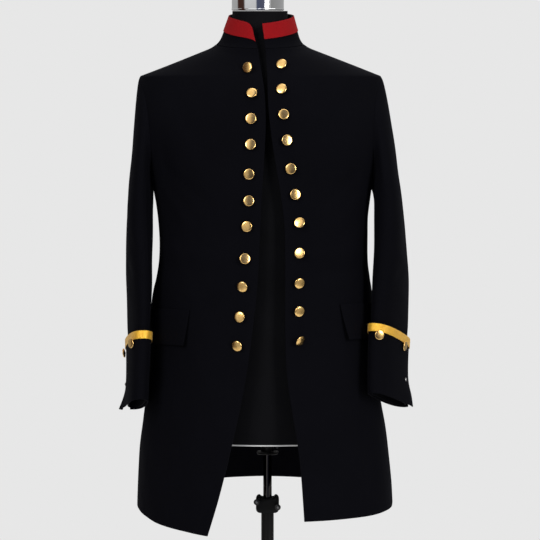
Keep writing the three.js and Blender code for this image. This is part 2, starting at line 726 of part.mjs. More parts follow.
for (const [word, side, sections] of [
  ["right", -1, SLEEVE_RIGHT],
  ["left", 1, SLEEVE_LEFT],
]) {
  sleevePiece(`sleeve_top_${word}`, side, sections, TOP_TURNS);
  sleevePiece(`sleeve_under_${word}`, side, sections, UNDER_TURNS);
  const sleeve = { side, sections, flare: CUFF_FLARE[word], vent: CUFF_VENT[word] };
  const braidRows = [1, 1 + BRAID_WIDTH];
  const cuffRows = [0, braidRows[1], 44, 78, 98, 112, CUFF_DEPTH];
  addMesh(
    coat,
    `cuff_${word}`,
    cuffWall(sleeve, cuffRows, CUFF_LIFT, CUFF_CLOTH, 0.35),
    MATERIALS.wool,
  );
  addMesh(
    coat,
    `cuff_braid_${word}`,
    cuffWall(sleeve, braidRows, CUFF_LIFT + 2 * SEAM + FELT, FELT, 0.5),
    MATERIALS.braid,
  );
  CUFF_BUTTONS[word].forEach(({ turn, lean, toward }, i) => {
    const { point, normal } = cuffPoint(sleeve, turn, CUFF_BUTTON_DOWN, CUFF_LIFT + SEAM);
    addButton(`button_cuff_${word}_${i + 1}`, CUFF_BUTTON_SIZE, point, normal, lean, vec(...toward));
  });
  const snapDown = CUFF_DEPTH - CUFF_VENT.length + 2;
  const snap = cuffPoint(sleeve, SNAP_TURN[word], snapDown, CUFF_LIFT + 3 * SEAM);
  const stud = addMesh(coat, `cuff_snap_${word}`, turned(SNAP_PROFILE, 10), MATERIALS.steel);
  stud.quaternion.setFromUnitVectors(vec(0, 0, 1), snap.normal);
  stud.position.copy(snap.point);
}

// ---------------------------------------------------------------- front buttons
// These lean in the front view: toward is an angle there, 0 to +X and 90 upwards.
for (const [word, rows] of [["right", BUTTONS_RIGHT], ["left", BUTTONS_LEFT]])
  rows.height.forEach((z, i) => {
    // the nominal height whose point lies at the wanted height
    let height = z;
    for (let k = 0; k < 12; k++)
      height += z - bodyPoint(angleAcross(rows.across[i], height), height).z;
    const angle = angleAcross(rows.across[i], height);
    const number = String(i + 1).padStart(2, "0");
    const toward = rad(rows.toward[i]);
    addButton(
      `button_${word}_${number}`,
      1,
      bodyPoint(angle, height),
      bodyNormal(angle, height),
      rows.lean[i],
      vec(Math.cos(toward), 0, Math.sin(toward)),
    );
  });

// ---------------------------------------------------------------- pocket flaps
// Each hangs from its upper edge, and its lower front corner stands off the coat.
const FLAPS = {
  right: { side: -1, top: 929, across: -138, slant: 7 },
  left: { side: 1, top: 939, across: 129, slant: 12 },
};
const FLAP = { width: 128, height: 64, ease: 0.8, lowerLift: 1.2, cornerLift: 7 };

function flapWall({ side, top, across, slant }) {
  const face = (u, v) => {
    const height = top - FLAP.height * v;
    const start = angleAcross(across + side * slant * v, height);
    const span = (FLAP.width / 190) * (180 / Math.PI);
    const angle = start + side * span * u;
    const normal = bodyNormal(angle, height);
    const corner = Math.exp(-((u / 0.16) ** 2)) * v ** 1.5;
    const lift = FLAP.ease + FLAP_CLOTH + FLAP.lowerLift * v * v + FLAP.cornerLift * corner;
    return { point: bodyPoint(angle, height).addScaledVector(normal, lift), normal };
  };
  return clothWall(steps(9), steps(3), FLAP_CLOTH, face);
}
for (const [word, flap] of Object.entries(FLAPS))
  addMesh(coat, `pocket_flap_${word}`, flapWall(flap), MATERIALS.wool);

// ---------------------------------------------------------------- dress form
const FORM_AROUND = 26;
function torsoRing(height, grow) {
  const at = (name) => along(TORSO.height, TORSO[name], height);
  return Array.from({ length: FORM_AROUND }, (_, i) => {
    const angle = (360 * i) / FORM_AROUND;
    const { x, y } = sectionPoint(angle, {
      right: at("across") - at("half") - grow,
      left: at("across") + at("half") + grow,
      front: at("front") - grow,
      back: at("back") + grow,
      middle: 0,
      square: at("square"),
    });
    return vec(x, y, height);
  });
}
const TORSO_HEIGHTS = [
  FORM_BOTTOM, 740, 810, 880, 950, 1020, 1090, 1160, 1230, 1285, 1318, 1340, 1355, 1368, 1381, 1395,
  1408, 1422, 1438, 1483.5,
];
const torsoRings = TORSO_HEIGHTS.map((height) => torsoRing(height, 0));
torsoRings.at(-1).forEach((p) => p.setZ(p.z + NECK_SLOPE * (p.y - NECK_CAP.y)));
addMesh(form, "form_torso", ringSolid(torsoRings), MATERIALS.jersey);
const rimTop = FORM_BOTTOM - SEAM;
const rimRing = (height) => torsoRing(FORM_BOTTOM, RIM.overhang).map((p) => p.setZ(height));
addMesh(
  form,
  "form_rim",
  ringSolid([rimRing(rimTop - RIM.thickness), rimRing(rimTop)]),
  MATERIALS.rim,
);
const capRound = 5;
const cap = addMesh(
  form,
  "form_neck_cap",
  turned(
    [
      [0, 0],
      [NECK_CAP.radius, 0],
      [NECK_CAP.radius, NECK_CAP.height - capRound],
      [NECK_CAP.radius - 0.3 * capRound, NECK_CAP.height - 0.3 * capRound],
      [NECK_CAP.radius - capRound, NECK_CAP.height],
      [0, NECK_CAP.height + 1.5],
    ],
    28,
  ),
  MATERIALS.chrome,
);
cap.position.set(NECK_CAP.x, NECK_CAP.y, NECK_CAP.bottom);
cap.rotation.x = Math.atan(NECK_SLOPE);

// ---------------------------------------------------------------- stand
const rimBottom = rimTop - RIM.thickness;
const POLE_SLIP = 0.2; // running clearance round the inner pole
const socketBore = INNER_POLE.radius + POLE_SLIP;
const FLANGE = { disc: 20.5, neck: 12, discTop: 661, bottom: 657, bore: socketBore };
addMesh(
  form,
  "form_flange",
  turned(
    [
      [0, rimBottom - SEAM],
      [FLANGE.neck + 8, rimBottom - SEAM],
      [FLANGE.neck, rimBottom - 6],
      [FLANGE.neck, FLANGE.discTop],
      [FLANGE.disc, FLANGE.discTop],
      [FLANGE.disc, FLANGE.bottom],
      [FLANGE.bore, FLANGE.bottom],
      [FLANGE.bore, INNER_POLE.top - 4],
      [0, INNER_POLE.top - 4],
    ],
    18,
  ),
  MATERIALS.blackMetal,
);
const poleTop = INNER_POLE.top - 4 - SEAM;
addMesh(
  slidingPole,
  "pole_inner",
  turned(
    [
      [0, INNER_POLE.bottom],
      [INNER_POLE.radius, INNER_POLE.bottom],
      [INNER_POLE.radius, poleTop],
      [0, poleTop],
    ],
    16,
  ),
  MATERIALS.darkChrome,
);
addMesh(
  stand,
  "pole_outer",
  turned(
    [
      [OUTER_POLE.bore, OUTER_POLE.bottom],
      [OUTER_POLE.radius, OUTER_POLE.bottom],
      [OUTER_POLE.radius, OUTER_POLE.top],
      [OUTER_POLE.bore, OUTER_POLE.top],
      [OUTER_POLE.bore, OUTER_POLE.bottom],
    ],
    16,
  ),
  MATERIALS.blackMetal,
);
const clampBore = OUTER_POLE.radius + 0.5;
const clampSeat = OUTER_POLE.top + SEAM;

// The clamp's outside is a rounded oblong, wide enough for a screw on each side of the pole.
function oblong(geometry, { radius, halfAcross, halfDeep, square }) {
  const places = geometry.getAttribute("position");
  for (let i = 0; i < places.count; i++) {
    const [x, y] = [places.getX(i), places.getY(i)];
    const away = Math.hypot(x, y);
    if (away < clampBore + 1) continue;
    const across = Math.abs(x / away / halfAcross) ** square;
    const deep = Math.abs(y / away / halfDeep) ** square;
    const scale = (across + deep) ** (-1 / square) / radius;
    places.setXY(i, x * scale, y * scale);
  }
  return geometry;
}
const clampProfile = [
  [clampBore, CLAMP.bottom],
  [CLAMP.radius, CLAMP.bottom],
  [CLAMP.radius, CLAMP.top - 3],
  [CLAMP.radius - 3, CLAMP.top],
  [socketBore, CLAMP.top],
  [socketBore, clampSeat],
  [clampBore, clampSeat],
  [clampBore, CLAMP.bottom],
];
addMesh(stand, "clamp", oblong(turned(clampProfile, 32), CLAMP), MATERIALS.blackMetal);

// Thumbscrews: two on the clamp's front, one on each side of the pole, and one on the flange.
const SCREW_PROFILE = [[0, 0], [2.2, 0], [2.2, 3], [5.6, 3.4], [5.6, 6.4], [4.2, 7.2], [0, 7.2]];
function addScrew(group, name, foot, axis) {
  const screw = addMesh(group, name, turned(SCREW_PROFILE, 12), MATERIALS.blackMetal);
  screw.quaternion.setFromUnitVectors(vec(0, 0, 1), axis);
  screw.position.copy(foot);
}
const clampFront = -CLAMP.halfDeep - SEAM;
addScrew(stand, "clamp_screw_right", vec(-20.2, clampFront, 570), vec(0, -1, 0));
addScrew(stand, "clamp_screw_left", vec(19.2, clampFront, 560.5), vec(0, -1, 0));
addScrew(form, "flange_screw", vec(FLANGE.neck + SEAM, 0, 672), vec(1, 0, 0));
addMesh(
  stand,
  "base",
  turned(
    [
      [0, 0],
      [BASE.radius - 2, 0],
      [BASE.radius, 2],
      [BASE.radius, BASE.plate - 3],
      [BASE.radius - 4, BASE.plate],
      [60, BASE.plate + 3],
      [BASE.boss + 6, BASE.plate + 8],
      [BASE.boss, BASE.plate + 16],
      [BASE.boss, BASE.bossTop],
      [clampBore, BASE.bossTop],
      [clampBore, OUTER_POLE.bottom - SEAM],
      [0, OUTER_POLE.bottom - SEAM],
    ],
    28,
  ),
  MATERIALS.blackMetal,
);

const root = new THREE.Group();
root.add(coat, form, slidingPole, stand);
export default root;
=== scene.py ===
import math

import bmesh
import bpy
import numpy as np
from mathutils import Matrix, Vector
from mathutils.bvhtree import BVHTree
from mathutils.kdtree import KDTree


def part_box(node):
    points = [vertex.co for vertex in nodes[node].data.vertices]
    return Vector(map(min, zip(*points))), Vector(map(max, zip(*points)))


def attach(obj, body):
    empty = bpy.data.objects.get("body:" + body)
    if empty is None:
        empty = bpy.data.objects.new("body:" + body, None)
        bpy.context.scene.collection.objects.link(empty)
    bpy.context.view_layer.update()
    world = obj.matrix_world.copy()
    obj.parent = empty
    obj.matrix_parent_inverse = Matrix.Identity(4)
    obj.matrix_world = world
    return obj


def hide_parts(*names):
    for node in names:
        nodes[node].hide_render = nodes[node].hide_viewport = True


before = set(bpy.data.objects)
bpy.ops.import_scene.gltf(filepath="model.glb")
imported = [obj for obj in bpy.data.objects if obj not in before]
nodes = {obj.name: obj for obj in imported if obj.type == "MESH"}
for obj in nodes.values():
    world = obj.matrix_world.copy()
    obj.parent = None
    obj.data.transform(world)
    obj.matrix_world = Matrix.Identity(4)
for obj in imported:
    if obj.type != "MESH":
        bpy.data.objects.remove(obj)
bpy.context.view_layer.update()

# A hussar coat on a limbless dress form. Metres, +Z up, the coat's front faces -Y.

scene = bpy.context.scene
scene.view_settings.view_transform = "Standard"

# a level camera in front of the coat
camera = {"at": (0.0047, -2.2, 1.0), "lens": 78.43}

cameraData = bpy.data.cameras.new("camera")
cameraData.lens = camera["lens"]
cameraData.sensor_width = 36
cameraObject = bpy.data.objects.new("camera", cameraData)
cameraObject.location = camera["at"]
cameraObject.rotation_euler = (math.radians(90), 0, 0)
scene.collection.objects.link(cameraObject)
scene.camera = cameraObject
print("camera set")


class Wire:
    # one output of a node; sums, differences and products of wires add their own nodes
    def __init__(self, tree, socket=None):
        self.tree = tree
        self.socket = socket

    def node(self, kind, settings=None, sockets=None, out=0):
        made = self.tree.nodes.new("ShaderNode" + kind)
        for key, value in (settings or {}).items():
            if key == "stops":
                ramp = made.color_ramp.elements
                while len(ramp) < len(value):
                    ramp.new(0.5)
                for element, (place, colour) in zip(ramp, value):
                    element.position = place
                    element.color = (*colour, 1)
            else:
                setattr(made, key, value)
        for key, value in (sockets or {}).items():
            self.plug(made.inputs[key], value)
        return Wire(self.tree, made.outputs[out])

    def plug(self, target, value):
        if isinstance(value, Wire):
            self.tree.links.new(value.socket, target)
        else:
            target.default_value = value

    def maths(self, operation, *values):
        return self.node("Math", {"operation": operation}, dict(enumerate(values)))

    def __add__(self, other):
        return self.maths("ADD", self, other)

    def __sub__(self, other):
        return self.maths("SUBTRACT", self, other)

    def __mul__(self, other):
        return self.maths("MULTIPLY", self, other)

    def __rsub__(self, other):
        return self.maths("SUBTRACT", other, self)

    __radd__ = __add__
    __rmul__ = __mul__

    def hump(self, centre, width):
        # 1 at the centre, falling smoothly to 0 over the width
        apart = self.maths("ABSOLUTE", self - centre)
        return self.node(
            "MapRange",
            {"interpolation_type": "SMOOTHSTEP"},
            {"Value": apart, "From Min": 0.0, "From Max": width, "To Min": 1.0, "To Max": 0.0},
        )

    def spread(self, low, high, fromLow=0.0, fromHigh=1.0):
        sockets = {"Value": self, "From Min": fromLow, "From Max": fromHigh}
        return self.node("MapRange", {}, {**sockets, "To Min": low, "To Max": high})

    def blendTo(self, first, second):
        # this value mixes two colours
        return self.node(
            "Mix",
            {"data_type": "RGBA"},
            {0: self, 6: rgba(first), 7: rgba(second)},
            out=2,
        )


def rgba(colour):
    return colour if isinstance(colour, Wire) else (*colour, 1)


def newFinish(name, **fixed):
    material = bpy.data.materials.new(name)
    material.use_nodes = True
    shader = material.node_tree.nodes["Principled BSDF"]
    for socket, value in fixed.items():
        shader.inputs[socket.replace("_", " ")].default_value = value
    wire = Wire(material.node_tree)
    place = wire.node("TexCoord", out=3)
    return material, shader, wire, place


def noise(wire, place, scale, detail=3.0, roughness=0.55, stretch=None):
    if stretch:
        place = wire.node("Mapping", {}, {"Vector": place, "Scale": stretch})
    sockets = {"Vector": place, "Scale": scale, "Detail": detail, "Roughness": roughness}
    return wire.node("TexNoise", {}, sockets)


def bumpFrom(wire, height, strength, distance):
    return wire.node("Bump", {}, {"Height": height, "Strength": strength, "Distance": distance})


def sinesOf(wire, value, wavelength):
    # a ripple from 0 to 1 along a length in metres
    return wire.maths("SINE", value * (2 * math.pi / wavelength)) * 0.5 + 0.5


woolLook = {
    "dark": (0.0009, 0.0009, 0.0014),
    "light": (0.0029, 0.0029, 0.0046),
    "lint": (0.0075, 0.0075, 0.0095),
    # scales of the noises, from the fibres to the slow change of tone
    "fibre": 1500.0,
    "felt": 420.0,
    "cloud": 9.0,
    "lintScale": 160.0,
    "lintSize": 0.09,
    "roughness": (0.82, 0.97),
    "bump": 0.5,
}


def makeWool():
    material, shader, wire, place = newFinish(
        "woolMelton",
        Sheen_Weight=0.008,
        Sheen_Roughness=0.4,
        Sheen_Tint=(0.5, 0.52, 0.72, 1),
        Specular_IOR_Level=0.03,
    )
    look = woolLook
    fibres = noise(wire, place, look["fibre"], 4.0, 0.65, (1.0, 1.0, 0.55))
    felt = noise(wire, place, look["felt"], 3.0)
    cloud = noise(wire, place, look["cloud"], 2.0)
    cells = {"Vector": place, "Scale": look["lintScale"]}
    speck = wire.node("TexVoronoi", {"feature": "F1"}, cells).hump(0.0, look["lintSize"])
    tone = fibres * 0.5 + felt * 0.3 + cloud * 0.35 - 0.1
    colour = tone.blendTo(look["dark"], look["light"])
    wire.plug(shader.inputs["Base Color"], speck.spread(0.0, 0.35).blendTo(colour, look["lint"]))
    wire.plug(shader.inputs["Roughness"], felt.spread(*look["roughness"]))
    nap = fibres * 0.6 + felt * 0.8
    wire.plug(shader.inputs["Normal"], bumpFrom(wire, nap, look["bump"], 0.0005))
    return material


redLook = {
    "dark": (0.12, 0.0012, 0.0024),
    "light": (0.29, 0.0040, 0.0068),
    "fibre": 1400.0,
    "felt": 350.0,
    "cloud": 25.0,
    "roughness": (0.75, 0.95),
    "bump": 0.45,
}


def makeRed():
    material, shader, wire, place = newFinish(
        "redFacingCloth",
        Sheen_Weight=0.05,
        Sheen_Roughness=0.5,
        Sheen_Tint=(1, 0.3, 0.25, 1),
        Specular_IOR_Level=0.08,
    )
    fibres = noise(wire, place, redLook["fibre"], 4.0, 0.6)
    felt = noise(wire, place, redLook["felt"], 3.0)
    cloud = noise(wire, place, redLook["cloud"], 2.0)
    tone = fibres * 0.5 + felt * 0.3 + cloud * 0.25
    wire.plug(shader.inputs["Base Color"], tone.blendTo(redLook["dark"], redLook["light"]))
    wire.plug(shader.inputs["Roughness"], felt.spread(*redLook["roughness"]))
    nap = fibres * 0.6 + felt * 0.7
    wire.plug(shader.inputs["Normal"], bumpFrom(wire, nap, redLook["bump"], 0.0005))
    return material


threadLook = {"dark": (0.12, 0.0018, 0.0030), "light": (0.20, 0.0030, 0.0050), "ply": 2600.0}


def makeThread():
    material, shader, wire, place = newFinish("redThread", Specular_IOR_Level=0.3)
    ply = noise(wire, place, threadLook["ply"], 2.0)
    wire.plug(shader.inputs["Base Color"], ply.blendTo(threadLook["dark"], threadLook["light"]))
    wire.plug(shader.inputs["Roughness"], ply.spread(0.5, 0.75))
    wire.plug(shader.inputs["Normal"], bumpFrom(wire, ply, 0.4, 0.0002))
    return material


braidLook = {
    "dark": (0.62, 0.29, 0.011),
    "light": (0.96, 0.57, 0.043),
    "rib": 0.0011,
    "strand": 0.0016,
    "chevron": 0.0025,
    "wear": 90.0,
    "metallic": (0.25, 0.45),
    "roughness": (0.26, 0.42),
}


def makeBraid():
    # the weave follows the band: "along" and "across" are stored on its points, in metres
    material, shader, wire, place = newFinish("goldBraid", Specular_IOR_Level=0.5, Sheen_Weight=0.1)
    along = wire.node("Attribute", {"attribute_name": "along"}, out=2)
    across = wire.node("Attribute", {"attribute_name": "across"}, out=2)
    chevron = wire.maths("PINGPONG", across, braidLook["chevron"])
    ribs = sinesOf(wire, along + chevron, braidLook["rib"])
    strands = sinesOf(wire, across, braidLook["strand"])
    wear = noise(wire, place, braidLook["wear"], 3.0)
    weave = ribs * 0.6 + strands * 0.4
    tone = weave * 0.55 + wear * 0.6 - 0.08
    wire.plug(shader.inputs["Base Color"], tone.blendTo(braidLook["dark"], braidLook["light"]))
    wire.plug(shader.inputs["Metallic"], weave.spread(*braidLook["metallic"]))
    wire.plug(shader.inputs["Roughness"], wear.spread(*braidLook["roughness"]))
    wire.plug(shader.inputs["Normal"], bumpFrom(wire, weave, 0.5, 0.0003))
    return material


giltLook = {
    "dark": (0.62, 0.34, 0.085),
    "light": (0.90, 0.60, 0.23),
    "cloud": 140.0,
    "fine": 1800.0,
    "roughness": (0.17, 0.27),
}


def makeGilt():
    material, shader, wire, place = newFinish("giltBrass", Coat_Weight=0.15, Coat_Roughness=0.08)
    cloud = noise(wire, place, giltLook["cloud"], 3.0)
    fine = noise(wire, place, giltLook["fine"], 2.0)
    tone = cloud.spread(0.35, 1.0, 0.3, 0.7)
    wire.plug(shader.inputs["Base Color"], tone.blendTo(giltLook["dark"], giltLook["light"]))
    shader.inputs["Metallic"].default_value = 1
    grain = cloud * 0.6 + fine * 0.4
    wire.plug(shader.inputs["Roughness"], grain.spread(*giltLook["roughness"]))
    wire.plug(shader.inputs["Normal"], bumpFrom(wire, fine, 0.04, 0.0002))
    return material


steelLook = {
    "dark": (0.42, 0.41, 0.40),
    "light": (0.66, 0.65, 0.63),
    "grain": 900.0,
    "roughness": (0.18, 0.38),
}


def makeSteel():
    material, shader, wire, place = newFinish("nickelSteel")
    brushed = noise(wire, place, steelLook["grain"], 3.0, 0.6, (1.0, 1.0, 6.0))
    wire.plug(shader.inputs["Base Color"], brushed.blendTo(steelLook["dark"], steelLook["light"]))
    shader.inputs["Metallic"].default_value = 1
    wire.plug(shader.inputs["Roughness"], brushed.spread(*steelLook["roughness"]))
    wire.plug(shader.inputs["Normal"], bumpFrom(wire, brushed, 0.1, 0.0002))
    return material


jerseyLook = {
    "dark": (0.0012, 0.0012, 0.0015),
    "light": (0.0042, 0.0042, 0.0052),
    "wale": 0.0016,
    "course": 0.0011,
    "roughness": (0.7, 0.9),
}


def makeJersey():
    material, shader, wire, place = newFinish(
        "jerseyCover", Sheen_Weight=0.01, Sheen_Tint=(0.6, 0.62, 0.7, 1), Specular_IOR_Level=0.05
    )
    wobble = noise(wire, place, 60.0, 2.0)
    x = wire.node("SeparateXYZ", {}, {"Vector": place}, out=0)
    z = wire.node("SeparateXYZ", {}, {"Vector": place}, out=2)
    wales = sinesOf(wire, x + wobble * 0.0012, jerseyLook["wale"])
    courses = sinesOf(wire, z + wobble * 0.0010, jerseyLook["course"])
    knit = wales * 0.6 + courses * 0.4
    cloud = noise(wire, place, 14.0, 2.0)
    tone = knit * 0.5 + cloud * 0.5
    wire.plug(shader.inputs["Base Color"], tone.blendTo(jerseyLook["dark"], jerseyLook["light"]))
    wire.plug(shader.inputs["Roughness"], knit.spread(*jerseyLook["roughness"]))
    wire.plug(shader.inputs["Normal"], bumpFrom(wire, knit, 0.35, 0.0004))
    return material


chromeLook = {
    "polished": ((0.78, 0.79, 0.81), (0.90, 0.91, 0.92)),
    # the pole's copy of the chrome: its colour is darkened, a painted shade for the dark coat that it
    # reflects
    "dark": ((0.040, 0.036, 0.034), (0.075, 0.071, 0.070)),
    "haze": 45.0,
    "roughness": (0.03, 0.10),
}


def makeChrome(name, kind):
    material, shader, wire, place = newFinish(name)
    haze = noise(wire, place, chromeLook["haze"], 3.0)
    wire.plug(shader.inputs["Base Color"], haze.blendTo(*chromeLook[kind]))
    shader.inputs["Metallic"].default_value = 1
    wire.plug(shader.inputs["Roughness"], haze.spread(*chromeLook["roughness"]))
    return material


knobLook = {
    "dark": (0.004, 0.004, 0.004),
    "light": (0.011, 0.010, 0.010),
    # the screw end's lighter metal colour, partly a painted highlight on the knob's end
    "screwEndPaintedHighlight": (0.16, 0.16, 0.16),
    "grain": 700.0,
    "roughness": (0.34, 0.5),
}


def makeKnob():
    # black knobs, each with the bare metal end of its screw in the middle, coloured lighter there as a
    # painted highlight on the knob's end
    material, shader, wire, place = newFinish("knobMetal", Specular_IOR_Level=0.4)
    centre = wire.node("Attribute", {"attribute_name": "centre"}, out=2)
    grain = noise(wire, place, knobLook["grain"], 3.0)
    black = grain.blendTo(knobLook["dark"], knobLook["light"])
    wire.plug(shader.inputs["Base Color"], centre.blendTo(black, knobLook["screwEndPaintedHighlight"]))
    wire.plug(shader.inputs["Metallic"], centre)
    wire.plug(shader.inputs["Roughness"], grain.spread(*knobLook["roughness"]))
    wire.plug(shader.inputs["Normal"], bumpFrom(wire, grain, 0.1, 0.0002))
    return material


rimLook = {
    "dark": (0.40, 0.40, 0.40),
    "light": (0.56, 0.56, 0.55),
    "haze": 120.0,
    "roughness": (0.3, 0.45),
}


def makeRim():
    material, shader, wire, place = newFinish("paleTrim", Coat_Weight=0.2)
    haze = noise(wire, place, rimLook["haze"], 3.0)
    wire.plug(shader.inputs["Base Color"], haze.blendTo(rimLook["dark"], rimLook["light"]))
    wire.plug(shader.inputs["Roughness"], haze.spread(*rimLook["roughness"]))
    wire.plug(shader.inputs["Normal"], bumpFrom(wire, haze, 0.1, 0.0003))
    return material


enamelLook = {
    "dark": (0.0016, 0.0013, 0.0012),
    "light": (0.0042, 0.0034, 0.0031),
    "peel": 420.0,
    "wear": 30.0,
    "roughness": (0.34, 0.52),
}


def makeEnamel():
    material, shader, wire, place = newFinish("blackEnamel", Specular_IOR_Level=0.16)
    peel = noise(wire, place, enamelLook["peel"], 2.0)
    wear = noise(wire, place, enamelLook["wear"], 4.0)
    wire.plug(shader.inputs["Base Color"], wear.blendTo(enamelLook["dark"], enamelLook["light"]))
    wire.plug(shader.inputs["Roughness"], wear.spread(*enamelLook["roughness"]))
    wire.plug(shader.inputs["Normal"], bumpFrom(wire, peel, 0.12, 0.0003))
    return material


plasticLook = {
    "dark": (0.0016, 0.0016, 0.0016),
    "light": (0.0042, 0.0042, 0.0044),
    "grain": 1100.0,
    "roughness": (0.4, 0.62),
}


def makeBlackPlastic():
    material, shader, wire, place = newFinish("blackPlastic", Specular_IOR_Level=0.12)
    grain = noise(wire, place, plasticLook["grain"], 3.0)
    wire.plug(shader.inputs["Base Color"], grain.blendTo(plasticLook["dark"], plasticLook["light"]))
    wire.plug(shader.inputs["Roughness"], grain.spread(*plasticLook["roughness"]))
    wire.plug(shader.inputs["Normal"], bumpFrom(wire, grain, 0.2, 0.0003))
    return material


finishes = {
    "wool": makeWool(),
    "red": makeRed(),
    "redThread": makeThread(),
    "braid": makeBraid(),
    "gilt": makeGilt(),
    "steel": makeSteel(),
    "knob": makeKnob(),
    "jersey": makeJersey(),
    "chrome": makeChrome("polishedChrome", "polished"),
    # the pole's chrome, with a painted shade in its colour for the dark surroundings that it reflects
    "chromePaintedShade": makeChrome("chromePaintedShade", "dark"),
    "rim": makeRim(),
    "enamel": makeEnamel(),
    "plastic": makeBlackPlastic(),
}
print("finishes made")


def pick(piece=None):
    if bpy.context.object and bpy.context.object.mode != "OBJECT":
        bpy.ops.object.mode_set(mode="OBJECT")
    bpy.ops.object.select_all(action="DESELECT")
    if piece:
        piece.select_set(True)
        bpy.context.view_layer.objects.active = piece


def edit(piece):
    pick(piece)
    bpy.ops.object.mode_set(mode="EDIT")
    bpy.ops.mesh.select_all(action="SELECT")


def finishEdit():
    bpy.ops.object.mode_set(mode="OBJECT")


def applied(piece, kind, **settings):
    pick(piece)
    modifier = piece.modifiers.new(kind.lower(), kind)
    for key, value in settings.items():
        setattr(modifier, key, value)
    bpy.ops.object.modifier_apply(modifier=modifier.name)


def smoothShade(piece, degrees=40):
    pick(piece)
    bpy.ops.object.shade_smooth_by_angle(angle=math.radians(degrees))


def settle(piece, body, finish, slot, *replaced):
    # the last step of every piece: its finish, its body and what it stands for
    piece.data.materials.clear()
    piece.data.materials.append(finishes[finish])
    piece.data.polygons.foreach_set("material_index", [0] * len(piece.data.polygons))
    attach(piece, body)
    if replaced:
        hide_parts(*replaced)


def pointsOf(piece):
    flat = np.empty(3 * len(piece.data.vertices))
    piece.data.vertices.foreach_get("co", flat)
    return flat.reshape(-1, 3)


def movePoints(piece, places):
    piece.data.vertices.foreach_set("co", places.ravel())
    piece.data.update()


def nodeCopy(nodeName, pieceName):
    # the node's own wall with its loose triangles joined up into a grid of four-sided faces
    piece = nodes[nodeName].copy()
    piece.data = piece.data.copy()
    piece.name = piece.data.name = pieceName
    piece.parent = None
    piece.matrix_world = Matrix.Identity(4)
    scene.collection.objects.link(piece)
    for modifier in list(piece.modifiers):
        piece.modifiers.remove(modifier)
    pick(piece)
    bpy.ops.mesh.customdata_custom_splitnormals_clear()
    edit(piece)
    bpy.ops.mesh.remove_doubles(threshold=0.00004)
    bpy.ops.mesh.tris_convert_to_quads(face_threshold=math.pi, shape_threshold=math.pi)
    finishEdit()
    return piece


def wallPatches(mesh, sharp=50):
    # faces of a cloth wall sorted into outer, inner and rim, by running on over soft edges
    limit = math.radians(sharp)
    mesh.faces.ensure_lookup_table()
    patchOf = {}
    sizes = []
    for face in mesh.faces:
        if face.index in patchOf:
            continue
        number, area, queue = len(sizes), 0.0, [face]
        patchOf[face.index] = number
        while queue:
            current = queue.pop()
            area += current.calc_area()
            for edge in current.edges:
                if len(edge.link_faces) != 2 or edge.calc_face_angle(0) > limit:
                    continue
                for other in edge.link_faces:
                    if other.index not in patchOf:
                        patchOf[other.index] = number
                        queue.append(other)
        sizes.append(area)
    order = sorted(range(len(sizes)), key=lambda k: -sizes[k])
    rank = {number: place for place, number in enumerate(order)}
    return {face: min(rank[number], 2) for face, number in patchOf.items()}


def creaseLayer(elements, name):
    return elements.layers.float.get(name) or elements.layers.float.new(name)


def creaseRim(piece, corner=24, reach=0.0):
    # The rim stays square when the wall is subdivided, and the rim's own corners stay put.
    # It may reach a little farther, so that neighbouring panels meet along their seams.
    mesh = bmesh.new()
    mesh.from_mesh(piece.data)
    patch = wallPatches(mesh)
    edgeCrease = creaseLayer(mesh.edges, "crease_edge")
    pointCrease = creaseLayer(mesh.verts, "crease_vert")
    for edge in mesh.edges:
        if len(edge.link_faces) != 2:
            continue
        one, two = (patch[face.index] for face in edge.link_faces)
        if one != two:
            edge[edgeCrease] = 1
        elif one == 2 and edge.calc_face_angle(0) > math.radians(corner):
            edge[edgeCrease] = 1
            for point in edge.verts:
                point[pointCrease] = 1
    for point in mesh.verts:
        ways = [face.normal.copy() for face in point.link_faces if patch[face.index] == 2]
        if ways:
            point.co += sum(ways, Vector((0, 0, 0))).normalized() * reach
    mesh.to_mesh(piece.data)
    mesh.free()


def creaseSharp(piece, degrees=55):
    # edges that turn more than this stay sharp when the piece is subdivided
    mesh = bmesh.new()
    mesh.from_mesh(piece.data)
    crease = creaseLayer(mesh.edges, "crease_edge")
    for edge in mesh.edges:
        if edge.calc_face_angle(0) > math.radians(degrees):
            edge[crease] = 1
    mesh.to_mesh(piece.data)
    mesh.free()


def subdivided(piece, levels):
    applied(piece, "SUBSURF", levels=levels, render_levels=levels)


def roundedEdges(piece, width, segments=2):
    limit = math.radians(55)
    applied(piece, "BEVEL", width=width, segments=segments, limit_method="ANGLE", angle_limit=limit)
    smoothShade(piece, 50)


def clothPiece(nodeName, pieceName, levels, edgeRound, fold=None, reach=0.0):
    piece = nodeCopy(nodeName, pieceName)
    creaseRim(piece, reach=reach)
    subdivided(piece, levels)
    if fold:
        movePoints(piece, fold(pointsOf(piece)))
    roundedEdges(piece, edgeRound)
    return piece


